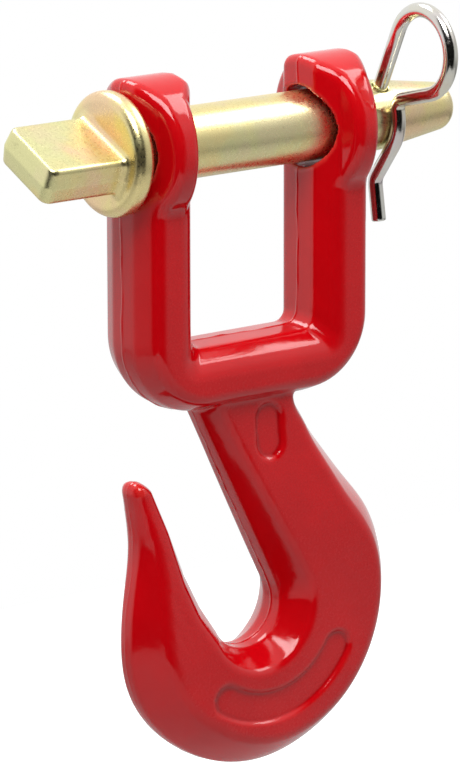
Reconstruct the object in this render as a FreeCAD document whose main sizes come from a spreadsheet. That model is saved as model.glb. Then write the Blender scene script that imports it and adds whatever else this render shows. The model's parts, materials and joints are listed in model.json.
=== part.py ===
"""Drawbar hook: a forged clevis with a slip hook below it, its drawbar pin and the pin's R-clip.

Millimetres. X runs along the drawbar pin towards its clip, Y points backwards through the
forging's parting plane, Z is up. The origin is on the pin's axis, midway between the ears.
"""

import FreeCAD, Part
import math
import os

import Sketcher
from FreeCAD import Placement, Rotation, Vector

doc = FreeCAD.newDocument("drawbar_hook")

# Driving dimensions
SIZES = {
    # drawbar pin
    "pin_diameter": 19,
    "pin_turn": 25,
    "taper_start": 46,
    "pin_end": 70.5,
    "taper_lean": 8,
    "end_round": 3.5,
    # collar and tab handle
    "collar_gap": 0.3,
    "collar_thickness": 6,
    "collar_diameter": 33,
    "collar_round": 2.6,
    "tab_length": 24.3,
    "tab_width": 22.5,
    "tab_thickness": 10.4,
    "tab_draft": 7,
    "tab_corner": 2.6,
    "tab_edge": 1.1,
    "tab_root": 1.6,
    # R-clip and its hole
    "clip_station": 45,
    "wire_diameter": 4,
    "hole_clearance": 0.6,
    "clip_clearance": 0.2,
    "leg_below": 14,
    "entry_length": 0.45,
    "loop_radius": 11.2,
    "loop_wrap": 230,
    "hump_top": 36,
    "hump_bottom": 12,
    "waist_bend": 3.2,
    "stem_length": 10.5,
    "tail_bend": 4.5,
    "tail_flare": 34,
    "tail_length": 9.6,
    "wire_end_round": 0.6,
    # clevis
    "gap_width": 40,
    "leg_thickness": 18,
    "leg_depth": 24,
    "draft": 13,
    "ear_radius": 19,
    "neck_round": 6,
    "bore_clearance": 3,
    "floor_drop": 53.2,
    "bar_thickness": 18,
    "outer_corner": 21,
    "inner_corner": 5.5,
    "crest_round": 7,
    "edge_round": 3.8,
    # hook
    "bowl_x": 0,
    "bowl_drop": 128,
    "throat_radius": 11,
    "throat_lean": 26.5,
    "throat_round": 4,
    "depth_share": 0.75,
    "width_share": 0.38,
    "tip_shoulder_inset": 0.8,
    "tip_crown_inset": 1.9,
    "tip_end_inset": 2.55,
    # recesses
    "recess_depth": 1.1,
    "recess_lean": 25,
    "slot_recess_x": 3.5,
    "slot_recess_drop": 78.7,
    "slot_recess_length": 15,
    "slot_recess_width": 8.4,
    "bowl_recess_x": 2,
    "bowl_recess_radius": 26.3,
    "bowl_recess_width": 8.6,
    "bowl_recess_start": -31,
    "bowl_recess_end": -122,
}

# Sections of the hook between its throat crest and its outer crest. Each has its place: a
# distance up the straight shank or point from the bowl, or an angle round the bowl; then the
# section's own slope, its width, half its depth and the round of its outer edges.
SHANK = [
    ("root", 63, 0, 34, 8.6, 2.6),
    ("neck", 57, 2, 31, 8.8, 2.8),
    ("upper_shank", 50, 6, 30.2, 9.3, 3.2),
    ("mid_shank", 40, 13, 29.5, 10.1, 4),
    ("lower_shank", 28, 20, 30.5, 11, 5),
    ("saddle", 14, 25, 33, 11.8, 6),
]
BOWL = [
    ("heel", 26.5, 35.1, 12.2, 7),
    ("back", -10, 35.4, 12.2, 7.5),
    ("low_back", -46, 34.9, 12.2, 8.5),
    ("bottom", -82, 33.5, 12.2, 9),
    ("low_front", -118, 31.5, 11.9, 9),
    ("front", -153.5, 28.9, 10.9, 8),
]
POINT = [
    ("point_root", 13, 23.5, 9.4, 6),
    ("point_middle", 25, 15.8, 7.9, 4.4),
    ("point_neck", 36, 9.2, 6.3, 2.9),
    ("point_bulb", 43, 6.9, 5.1, 2.4),
    ("tip_start", 47, 6.3, 4.5, 2.2),
    ("tip_shoulder", 49.4, 4.7, 3.4, 1.6),
    ("tip_crown", 50.6, 2.5, 1.8, 0.8),
    ("tip_end", 51, 1.2, 0.9, 0.35),
]
for name, place, slope, width, half_depth, rounding in SHANK:
    SIZES[name + "_rise"] = place
    SIZES[name + "_slope"] = slope
    SIZES[name + "_width"] = width
    SIZES[name + "_depth"] = half_depth
    SIZES[name + "_round"] = rounding
for name, place, width, half_depth, rounding in BOWL:
    SIZES[name + "_angle"] = place
    SIZES[name + "_width"] = width
    SIZES[name + "_depth"] = half_depth
    SIZES[name + "_round"] = rounding
for name, place, width, half_depth, rounding in POINT:
    SIZES[name + "_rise"] = place
    SIZES[name + "_width"] = width
    SIZES[name + "_depth"] = half_depth
    SIZES[name + "_round"] = rounding

sheet = doc.addObject("Spreadsheet::Sheet", "Sizes")
for row, (alias, value) in enumerate(SIZES.items(), start=1):
    sheet.set(f"A{row}", alias)
    sheet.set(f"B{row}", str(value))
    sheet.setAlias(f"B{row}", alias)
doc.recompute()


def size(alias):
    """The value of one cell of the sheet."""
    return float(sheet.get(alias))


def bind(thing, **formulas):
    """Bind properties of a document object to formulas of the sheet's cells; __ stands for a dot."""
    for path, formula in formulas.items():
        thing.setExpression(path.replace("__", "."), formula)


def cell(formula):
    """A formula with every alias of the sheet written as the sheet's own cell."""
    words = []
    word = ""
    for mark in formula + " ":
        if mark.isalnum() or mark == "_":
            word += mark
            continue
        words.append("Sizes." + word if word in SIZES else word)
        words.append(mark)
        word = ""
    return "".join(words).strip()


# Sketch helpers


def plane_of(body, role):
    """One of a body's own origin planes, such as XY_Plane."""
    for feature in body.Origin.OriginFeatures:
        if feature.Role == role:
            return feature
    raise RuntimeError(role)


def body_sketch(body, name, role):
    """A sketch on one of a body's origin planes."""
    sketch = body.newObject("Sketcher::SketchObject", name)
    sketch.AttachmentSupport = [(plane_of(body, role), "")]
    sketch.MapMode = "FlatFace"
    return sketch


def line(sketch, start, end):
    """Add a line and return its number in the sketch."""
    return sketch.addGeometry(Part.LineSegment(Vector(*start, 0), Vector(*end, 0)), False)


def arc(sketch, centre, radius, start, end):
    """Add an arc that runs anticlockwise from the start angle to the end angle, in degrees."""
    circle = Part.Circle(Vector(*centre, 0), Vector(0, 0, 1), radius)
    piece = Part.ArcOfCircle(circle, math.radians(start), math.radians(end))
    return sketch.addGeometry(piece, False)


def constrain(sketch, *rows):
    """Add constraints, each a tuple of Sketcher.Constraint's own arguments."""
    for row in rows:
        sketch.addConstraint(Sketcher.Constraint(*row))


def dimension(sketch, name, formula, *row):
    """Add one named dimension, bound to a formula of the sheet's cells."""
    index = sketch.addConstraint(Sketcher.Constraint(*row))
    sketch.renameConstraint(index, name)
    sketch.setExpression("Constraints." + name, cell(formula))


def solved(sketch):
    """Solve a sketch, and stop if its constraints conflict or repeat each other."""
    doc.recompute()
    if sketch.solve() != 0:
        raise RuntimeError("unsolved sketch: " + sketch.Name)
    return sketch


# Numbers by which a sketch names its own origin, its axes and the points of its geometry
ORIGIN = (-1, 1)
X_AXIS = -1
Y_AXIS = -2
START = 1
END = 2
CENTRE = 3

# Points closer than this, in millimetres, lie on one another
TOUCH = 1e-3


def checked(thing):
    """Recompute, and stop if this object has no sound shape."""
    doc.recompute()
    if thing.Shape.isNull() or not thing.Shape.isValid():
        raise RuntimeError("no sound shape: " + thing.Name)
    return thing


# Clevis: a drafted U cut to the side view of ears and legs


def clevis_outline():
    """Front view at the parting plane: two legs on a floor bar, open at the top."""
    sketch = doc.addObject("Sketcher::SketchObject", "clevis_outline")
    sketch.Placement = Placement(Vector(0, 0, 0), Rotation(Vector(1, 0, 0), 90))
    inner = size("gap_width") / 2
    outer = inner + size("leg_thickness")
    floor = -size("floor_drop")
    base = floor - size("bar_thickness")
    top = size("ear_radius") + size("leg_thickness")
    big, small = size("outer_corner"), size("inner_corner")
    left = line(sketch, (-outer, top), (-outer, base + big))
    left_corner = arc(sketch, (-outer + big, base + big), big, 180, 270)
    bottom = line(sketch, (-outer + big, base), (outer - big, base))
    right_corner = arc(sketch, (outer - big, base + big), big, 270, 360)
    right = line(sketch, (outer, base + big), (outer, top))
    right_top = line(sketch, (outer, top), (inner, top))
    right_inner = line(sketch, (inner, top), (inner, floor + small))
    right_fillet = arc(sketch, (inner - small, floor + small), small, 270, 360)
    floor_line = line(sketch, (inner - small, floor), (small - inner, floor))
    left_fillet = arc(sketch, (small - inner, floor + small), small, 180, 270)
    left_inner = line(sketch, (-inner, floor + small), (-inner, top))
    left_top = line(sketch, (-inner, top), (-outer, top))
    constrain(
        sketch,
        ("Tangent", left, END, left_corner, START),
        ("Tangent", left_corner, END, bottom, START),
        ("Tangent", bottom, END, right_corner, START),
        ("Tangent", right_corner, END, right, START),
        ("Coincident", right, END, right_top, START),
        ("Coincident", right_top, END, right_inner, START),
        ("Tangent", right_inner, END, right_fillet, END),
        ("Tangent", right_fillet, START, floor_line, START),
        ("Tangent", floor_line, END, left_fillet, END),
        ("Tangent", left_fillet, START, left_inner, START),
        ("Coincident", left_inner, END, left_top, START),
        ("Coincident", left_top, END, left, START),
        ("Horizontal", bottom),
        ("Horizontal", floor_line),
        ("Horizontal", right_top),
        ("Vertical", right),
        ("Vertical", right_inner),
        ("Symmetric", left, START, right, END, Y_AXIS),
        ("Symmetric", left_inner, END, right_inner, START, Y_AXIS),
        ("Vertical", left),
        ("Vertical", left_inner),
        ("Equal", left_corner, right_corner),
        ("Equal", left_fillet, right_fillet),
    )
    dimension(sketch, "half_gap", "gap_width / 2", "DistanceX", *ORIGIN, right_inner, START, inner)
    dimension(
        sketch, "half_span", "gap_width / 2 + leg_thickness", "DistanceX", *ORIGIN, right, END, outer
    )
    dimension(
        sketch, "rise", "ear_radius + leg_thickness", "DistanceY", *ORIGIN, right, END, top
    )
    dimension(sketch, "drop", "floor_drop", "DistanceY", floor_line, START, *ORIGIN, -floor)
    dimension(
        sketch, "bottom", "floor_drop + bar_thickness", "DistanceY", bottom, START, *ORIGIN, -base
    )
    dimension(sketch, "outer_corner", "outer_corner", "Radius", right_corner, big)
    dimension(sketch, "inner_corner", "inner_corner", "Radius", right_fillet, small)
    return solved(sketch)


def side_outline():
    """Side view: round ears on straight legs, with concave necks between them."""
    sketch = doc.addObject("Sketcher::SketchObject", "side_outline")
    sketch.Placement = Placement(Vector(0, 0, 0), Rotation(Vector(1, 1, 1), 120))
    ear, neck = size("ear_radius"), size("neck_round")
    half = size("leg_depth") / 2
    foot = -size("floor_drop") - 2 * size("bar_thickness")
    away = half + neck
    low = -math.sqrt((ear + neck) ** 2 - away**2)
    slope = math.degrees(math.atan2(low, away))
    head = arc(sketch, (0, 0), ear, slope, 180 - slope)
    right_neck = arc(sketch, (away, low), neck, 180 + slope, 180)
    left_neck = arc(sketch, (-away, low), neck, 0, -slope)
    right = line(sketch, (half, low), (half, foot))
    bottom = line(sketch, (half, foot), (-half, foot))
    left = line(sketch, (-half, foot), (-half, low))
    constrain(
        sketch,
        ("Coincident", head, CENTRE, *ORIGIN),
        ("Tangent", head, START, right_neck, START),
        ("Tangent", right_neck, END, right, START),
        ("Coincident", right, END, bottom, START),
        ("Coincident", bottom, END, left, START),
        ("Tangent", left, END, left_neck, START),
        ("Tangent", left_neck, END, head, END),
        ("Vertical", right),
        ("Vertical", left),
        ("Equal", right_neck, left_neck),
        ("Symmetric", bottom, START, bottom, END, Y_AXIS),
    )
    dimension(sketch, "ear", "ear_radius", "Radius", head, ear)
    dimension(sketch, "neck", "neck_round", "Radius", right_neck, neck)
    dimension(sketch, "half_depth", "leg_depth / 2", "DistanceX", *ORIGIN, bottom, START, half)
    dimension(
        sketch, "foot", "floor_drop + 2 * bar_thickness", "DistanceY", bottom, START, *ORIGIN, -foot
    )
    return solved(sketch)


def extrusion(name, sketch, direction, forward, backward, lean="0"):
    """Extrude a sketch both ways from its plane, each way leaning inwards by the same draft."""
    solid = doc.addObject("Part::Extrusion", name)
    solid.Base = sketch
    solid.DirMode = "Custom"
    solid.Dir = direction
    solid.Solid = True
    bind(solid, LengthFwd=cell(forward), LengthRev=cell(backward))
    if lean != "0":
        bind(solid, TaperAngle=cell(lean), TaperAngleRev=cell(lean))
    return checked(solid)


def edge_numbers(shape, wanted):
    """The numbers of a shape's edges that a test accepts."""
    return [number for number, edge in enumerate(shape.Edges, start=1) if wanted(edge)]


def rounded(name, base, radius, wanted):
    """Round the edges of a base that a test accepts, all by one radius of the sheet."""
    fillet = doc.addObject("Part::Fillet", name)
    fillet.Base = base
    value = size(radius)
    fillet.Edges = [(number, value, value) for number in edge_numbers(base.Shape, wanted)]
    return checked(fillet)


def middle(edge):
    """The point halfway along an edge."""
    return edge.valueAt((edge.FirstParameter + edge.LastParameter) / 2)


def on_parting_plane(edge):
    """True for the crest edges, where front and back draft meet."""
    ends = [edge.valueAt(at) for at in edge.ParameterRange]
    return all(abs(point.y) < TOUCH for point in ends + [middle(edge)])


def sharp_edges(shape):
    """The edges where the faces on both sides meet at more than a few degrees."""
    found = []
    for edge in shape.Edges:
        faces = shape.ancestorsOfType(edge, Part.Face)
        if len(faces) != 2:
            continue
        point = middle(edge)
        normals = []
        for face in faces:
            u, v = face.Surface.parameter(point)
            normals.append(face.normalAt(u, v))
        if normals[0].getAngle(normals[1]) > math.radians(20):
            found.append(edge)
    return found


def make_yoke():
    """The clevis alone: ears, legs and floor bar, drafted both ways, rounded and bored."""
    front = clevis_outline()
    side = side_outline()
    reach = "ear_radius + 1"
    drafted = extrusion("drafted_clevis", front, Vector(0, -1, 0), reach, reach, "-draft * 1 deg")
    span = "gap_width / 2 + leg_thickness + 1"
    keyhole = extrusion("keyhole", side, Vector(1, 0, 0), span, span)
    blank = doc.addObject("Part::Common", "clevis_blank")
    blank.Base = drafted
    blank.Tool = keyhole
    checked(blank)
    crested = rounded("crested_clevis", blank, "crest_round", on_parting_plane)
    rims = sharp_edges(crested.Shape)
    soft = rounded(
        "rounded_clevis", crested, "edge_round", lambda edge: any(edge.isSame(rim) for rim in rims)
    )
    bore = doc.addObject("Part::Cylinder", "pin_bore")
    bore.Placement = Placement(Vector(0, 0, 0), Rotation(Vector(0, 1, 0), 90))
    bind(
        bore,
        Radius=cell("(pin_diameter + bore_clearance) / 2"),
        Height=cell("2 * (" + span + ")"),
        Placement__Base__x=cell("-(" + span + ")"),
    )
    return difference("bored_clevis", soft, bore)


def difference(name, base, tool):
    """Cut a tool out of a base, and stop if it took nothing away."""
    cut = doc.addObject("Part::Cut", name)
    cut.Base = base
    cut.Tool = tool
    checked(cut)
    if cut.Shape.Volume > base.Shape.Volume - 1:
        raise RuntimeError("nothing cut: " + name)
    return cut


def hook_section(name, width, depth, rounding, place_x, place_z, slope):
    """One section of the hook, from its throat crest at the sketch's origin to its outer crest."""
    sketch = doc.addObject("Sketcher::SketchObject", name)
    lean = math.radians(size("draft"))
    wide, half = size(width), size(depth)
    outer = size(rounding)
    inner = min(size("throat_round"), size("depth_share") * half, size("width_share") * wide)
    inner_formula = f"min(throat_round; depth_share * {depth}; width_share * {width})"
    inner_in = (half - inner) * math.tan(lean) + inner / math.cos(lean)
    outer_in = (half - outer) * math.tan(lean) + outer / math.cos(lean)
    draft = size("draft")
    inner_front = arc(sketch, (inner_in, inner - half), inner, 180 + draft, 270)
    outer_front = arc(sketch, (wide - outer_in, outer - half), outer, 270, 360 - draft)
    outer_back = arc(sketch, (wide - outer_in, half - outer), outer, draft, 90)
    inner_back = arc(sketch, (inner_in, half - inner), inner, 90, 180 - draft)

    def side_point(x, radius, inset, sign_x, sign_y):
        along = x + sign_x * (inset - radius * math.cos(lean))
        return (along, sign_y * (half - radius + radius * math.sin(lean)))

    throat_front = line(sketch, (0, 0), side_point(0, inner, inner_in, 1, -1))
    front = line(sketch, (inner_in, -half), (wide - outer_in, -half))
    crest_front = line(sketch, side_point(wide, outer, outer_in, -1, -1), (wide, 0))
    crest_back = line(sketch, (wide, 0), side_point(wide, outer, outer_in, -1, 1))
    back = line(sketch, (wide - outer_in, half), (inner_in, half))
    throat_back = line(sketch, side_point(0, inner, inner_in, 1, 1), (0, 0))
    constrain(
        sketch,
        ("Coincident", throat_front, START, *ORIGIN),
        ("Coincident", throat_back, END, *ORIGIN),
        ("Tangent", throat_front, END, inner_front, START),
        ("Tangent", inner_front, END, front, START),
        ("Tangent", front, END, outer_front, START),
        ("Tangent", outer_front, END, crest_front, START),
        ("Coincident", crest_front, END, crest_back, START),
        ("PointOnObject", crest_front, END, X_AXIS),
        ("Tangent", crest_back, END, outer_back, START),
        ("Tangent", outer_back, END, back, START),
        ("Tangent", back, END, inner_back, START),
        ("Tangent", inner_back, END, throat_back, START),
        ("Horizontal", front),
        ("Horizontal", back),
        ("Equal", inner_front, inner_back),
        ("Equal", outer_front, outer_back),
    )
    angle = math.radians
    dimension(sketch, "width", width, "DistanceX", *ORIGIN, crest_front, END, wide)
    dimension(sketch, "front_half", depth, "DistanceY", front, START, *ORIGIN, half)
    dimension(sketch, "back_half", depth, "DistanceY", *ORIGIN, back, START, half)
    dimension(sketch, "inner_round", inner_formula, "Radius", inner_front, inner)
    dimension(sketch, "outer_round", rounding, "Radius", outer_front, outer)
    dimension(
        sketch, "draft_a", "(draft - 90) * 1 deg", "Angle", throat_front, angle(draft - 90)
    )
    dimension(sketch, "draft_b", "(90 - draft) * 1 deg", "Angle", crest_front, angle(90 - draft))
    dimension(sketch, "draft_c", "(90 + draft) * 1 deg", "Angle", crest_back, angle(90 + draft))
    dimension(
        sketch, "draft_d", "(-90 - draft) * 1 deg", "Angle", throat_back, angle(-90 - draft)
    )
    turn = Rotation(Vector(0, 1, 0), 1)
    sketch.Placement = Placement(Vector(0, 0, 0), turn)
    bind(
        sketch,
        Placement__Base__x=cell(place_x),
        Placement__Base__z=cell(place_z),
        Placement__Rotation__Angle=cell(f"-({slope}) * 1 deg"),
    )
    return solved(sketch)


def slot_point(side, rise):
    """Formulas of a point of the throat's outline, up its shank side (1) or its point side (-1)."""
    lean = "throat_lean * 1 deg"
    x = f"bowl_x + {side} * throat_radius * cos({lean}) - {rise} * sin({lean})"
    z = f"-bowl_drop + {side} * throat_radius * sin({lean}) + {rise} * cos({lean})"
    return x, z


def make_hook():
    """The hook below the floor bar: one loft through the sections from its root to its tip."""
    sections = []
    for name, *_ in SHANK:
        x, z = slot_point(1, name + "_rise")
        sizes = [name + end for end in ("_width", "_depth", "_round")]
        sections.append(hook_section(name, *sizes, x, z, name + "_slope"))
    for name, *_ in BOWL:
        angle = f"{name}_angle * 1 deg"
        x = f"bowl_x + throat_radius * cos({angle})"
        z = f"-bowl_drop + throat_radius * sin({angle})"
        sizes = [name + end for end in ("_width", "_depth", "_round")]
        sections.append(hook_section(name, *sizes, x, z, name + "_angle"))
    for name, *_ in POINT:
        x, z = slot_point(-1, name + "_rise")
        if name + "_inset" in SIZES:
            x += f" - {name}_inset * cos(throat_lean * 1 deg)"
            z += f" - {name}_inset * sin(throat_lean * 1 deg)"
        sizes = [name + end for end in ("_width", "_depth", "_round")]
        sections.append(hook_section(name, *sizes, x, z, "throat_lean - 180"))
    loft = doc.addObject("Part::Loft", "hook_blank")
    loft.Sections = sections
    loft.Solid = True
    loft.Ruled = False
    return checked(loft)


def slot_outline():
    """The upright slot on the neck's front face, drawn on a plane that leans with that face."""
    sketch = doc.addObject("Sketcher::SketchObject", "slot_outline")
    radius = size("slot_recess_width") / 2
    half = size("slot_recess_length") / 2 - radius
    top = arc(sketch, (0, half), radius, 0, 180)
    left = line(sketch, (-radius, half), (-radius, -half))
    bottom = arc(sketch, (0, -half), radius, 180, 360)
    right = line(sketch, (radius, -half), (radius, half))
    constrain(
        sketch,
        ("Tangent", top, END, left, START),
        ("Tangent", left, END, bottom, START),
        ("Tangent", bottom, END, right, START),
        ("Tangent", right, END, top, START),
        ("Vertical", left),
        ("Symmetric", top, CENTRE, bottom, CENTRE, *ORIGIN),
    )
    dimension(sketch, "end_radius", "slot_recess_width / 2", "Radius", top, radius)
    dimension(
        sketch,
        "half_length",
        "(slot_recess_length - slot_recess_width) / 2",
        "DistanceY",
        *ORIGIN,
        top,
        CENTRE,
        half,
    )
    rise = "(neck_rise - mid_shank_rise) * cos(throat_lean * 1 deg)"
    growth = f"(mid_shank_depth - neck_depth) / ({rise})"
    neck_z = slot_point(1, "neck_rise")[1]
    sketch.Placement = Placement(Vector(0, 0, 0), Rotation(Vector(1, 0, 0), 1))
    bind(
        sketch,
        Placement__Base__x=cell("slot_recess_x"),
        Placement__Base__y=cell(f"-neck_depth - (({neck_z}) + slot_recess_drop) * {growth}"),
        Placement__Base__z=cell("-slot_recess_drop"),
        Placement__Rotation__Angle=cell(f"90 * 1 deg - atan({growth})"),
    )
    return solved(sketch)


def bowl_recess_outline():
    """The curved slot round the bowl's front face, bare where a maker's word could stand."""
    sketch = doc.addObject("Sketcher::SketchObject", "bowl_recess_outline")
    middle_radius, half = size("bowl_recess_radius"), size("bowl_recess_width") / 2
    first, last = size("bowl_recess_start"), size("bowl_recess_end")

    def point(angle, radius):
        return (radius * math.cos(math.radians(angle)), radius * math.sin(math.radians(angle)))

    outer = arc(sketch, (0, 0), middle_radius + half, last, first)
    first_end = arc(sketch, point(first, middle_radius), half, first, first + 180)
    inner = arc(sketch, (0, 0), middle_radius - half, last, first)
    last_end = arc(sketch, point(last, middle_radius), half, last + 180, last + 360)
    constrain(
        sketch,
        ("Coincident", outer, CENTRE, *ORIGIN),
        ("Coincident", inner, CENTRE, *ORIGIN),
        ("Tangent", outer, END, first_end, START),
        ("Tangent", first_end, END, inner, END),
        ("Tangent", inner, START, last_end, START),
        ("Tangent", last_end, END, outer, START),
    )
    dimension(
        sketch,
        "outer",
        "bowl_recess_radius + bowl_recess_width / 2",
        "Radius",
        outer,
        middle_radius + half,
    )
    dimension(
        sketch,
        "inner",
        "bowl_recess_radius - bowl_recess_width / 2",
        "Radius",
        inner,
        middle_radius - half,
    )
    for end, angle in ((first_end, "bowl_recess_start"), (last_end, "bowl_recess_end")):
        x = point(size(angle), middle_radius)[0]
        formula = f"bowl_recess_radius * cos({angle} * 1 deg)"
        dimension(sketch, angle + "_x", formula, "DistanceX", *ORIGIN, end, CENTRE, x)
    sketch.Placement = Placement(Vector(0, 0, 0), Rotation(Vector(1, 0, 0), 90))
    bind(
        sketch,
        Placement__Base__x=cell("bowl_x + bowl_recess_x"),
        Placement__Base__y=cell("-bottom_depth"),
        Placement__Base__z=cell("-bowl_drop"),
    )
    return solved(sketch)


def recess_tool(name, sketch):
    """A cutter that sinks a sketch into the metal behind it, its walls leaning inwards."""
    tool = doc.addObject("Part::Extrusion", name)
    tool.Base = sketch
    tool.DirMode = "Normal"
    tool.Solid = True
    bind(
        tool,
        LengthFwd=cell("2 * recess_depth"),
        LengthRev=cell("recess_depth"),
        TaperAngleRev=cell("-recess_lean * 1 deg"),
    )
    return checked(tool)


def make_clevis_hook():
    """The whole forging: clevis and hook in one, with both recesses in its front."""
    forging = doc.addObject("Part::MultiFuse", "forging")
    forging.Shapes = [make_yoke(), make_hook()]
    checked(forging)
    slotted = difference("slotted_forging", forging, recess_tool("slot_recess", slot_outline()))
    whole = difference("clevis_hook", slotted, recess_tool("bowl_recess", bowl_recess_outline()))
    whole.Label = "clevis_hook"
    return whole


# Drawbar pin: one forging of tab, collar, shank and tapered end


def turned_body(name):
    """A body that is turned about the pin's axis, as the pin and its clip stand."""
    body = doc.addObject("PartDesign::Body", name)
    body.Label = name
    body.Placement = Placement(Vector(0, 0, 0), Rotation(Vector(1, 0, 0), 1))
    bind(body, Placement__Rotation__Angle=cell("pin_turn * 1 deg"))
    return body


def pin_profile(body):
    """Half of the pin's lengthwise section, from the collar's outer face to the tapered end."""
    sketch = body_sketch(body, "pin_profile", "XY_Plane")
    radius, rim = size("pin_diameter") / 2, size("collar_diameter") / 2
    soft, end_soft = size("collar_round"), size("end_round")
    near = -size("gap_width") / 2 - size("leg_thickness") - size("collar_gap")
    far = near - size("collar_thickness")
    lean = math.radians(size("taper_lean"))
    start, tip = size("taper_start"), size("pin_end")
    low = radius - (tip - end_soft - start) * math.tan(lean) - end_soft / math.cos(lean)
    meet = (tip - end_soft + end_soft * math.sin(lean), low + end_soft * math.cos(lean))
    face = line(sketch, (far, 0), (far, rim - soft))
    far_rim = arc(sketch, (far + soft, rim - soft), soft, 90, 180)
    edge = line(sketch, (far + soft, rim), (near - soft, rim))
    near_rim = arc(sketch, (near - soft, rim - soft), soft, 0, 90)
    shoulder = line(sketch, (near, rim - soft), (near, radius))
    shank = line(sketch, (near, radius), (start, radius))
    taper = line(sketch, (start, radius), meet)
    nose = arc(sketch, (tip - end_soft, low), end_soft, 0, 90 - size("taper_lean"))
    end = line(sketch, (tip, low), (tip, 0))
    axis = line(sketch, (tip, 0), (far, 0))
    constrain(
        sketch,
        ("Tangent", face, END, far_rim, END),
        ("Tangent", far_rim, START, edge, START),
        ("Tangent", edge, END, near_rim, END),
        ("Tangent", near_rim, START, shoulder, START),
        ("Coincident", shoulder, END, shank, START),
        ("Coincident", shank, END, taper, START),
        ("Tangent", taper, END, nose, END),
        ("Tangent", nose, START, end, START),
        ("Coincident", end, END, axis, START),
        ("Coincident", axis, END, face, START),
        ("PointOnObject", face, START, X_AXIS),
        ("PointOnObject", end, END, X_AXIS),
        ("Vertical", face),
        ("Vertical", shoulder),
        ("Vertical", end),
        ("Horizontal", edge),
        ("Horizontal", shank),
        ("Equal", far_rim, near_rim),
    )
    outside = "gap_width / 2 + leg_thickness + collar_gap"
    rows = (
        ("shank_radius", "pin_diameter / 2", "DistanceY", *ORIGIN, shank, START, radius),
        ("rim_radius", "collar_diameter / 2", "DistanceY", *ORIGIN, edge, START, rim),
        ("rim_round", "collar_round", "Radius", far_rim, soft),
        ("end_round", "end_round", "Radius", nose, end_soft),
        ("collar_near", outside, "DistanceX", shank, START, *ORIGIN, -near),
        (
            "collar_far",
            outside + " + collar_thickness",
            "DistanceX",
            face,
            START,
            *ORIGIN,
            -far,
        ),
        ("taper_start", "taper_start", "DistanceX", *ORIGIN, shank, END, start),
        ("tip", "pin_end", "DistanceX", *ORIGIN, end, END, tip),
        ("lean", "-taper_lean * 1 deg", "Angle", taper, -lean),
    )
    for row in rows:
        dimension(sketch, *row)
    return solved(sketch)


def tab_outline(body):
    """The tab handle seen on its flat face, from inside the collar to its free end."""
    sketch = body_sketch(body, "tab_outline", "XY_Plane")
    outside = size("gap_width") / 2 + size("leg_thickness") + size("collar_gap")
    root = -outside - size("collar_thickness") / 2
    end = -outside - size("collar_thickness") - size("tab_length")
    half = size("tab_width") / 2
    front = line(sketch, (end, -half), (root, -half))
    inside = line(sketch, (root, -half), (root, half))
    back = line(sketch, (root, half), (end, half))
    free = line(sketch, (end, half), (end, -half))
    constrain(
        sketch,
        ("Coincident", front, END, inside, START),
        ("Coincident", inside, END, back, START),
        ("Coincident", back, END, free, START),
        ("Coincident", free, END, front, START),
        ("Horizontal", front),
        ("Vertical", inside),
        ("Symmetric", front, START, back, END, X_AXIS),
    )
    collar = "gap_width / 2 + leg_thickness + collar_gap"
    dimension(
        sketch, "root", collar + " + collar_thickness / 2", "DistanceX", inside, END, *ORIGIN, -root
    )
    dimension(
        sketch,
        "end",
        collar + " + collar_thickness + tab_length",
        "DistanceX",
        back,
        END,
        *ORIGIN,
        -end,
    )
    dimension(sketch, "half_width", "tab_width / 2", "DistanceY", *ORIGIN, back, END, half)
    return solved(sketch)


def dress_up(body, name, base, radius, wanted):
    """Round the edges of a body's last feature that a test accepts."""
    fillet = body.newObject("PartDesign::Fillet", name)
    numbers = edge_numbers(base.Shape, wanted)
    fillet.Base = (base, ["Edge%d" % number for number in numbers])
    bind(fillet, Radius=cell(radius))
    return checked(fillet)


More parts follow.
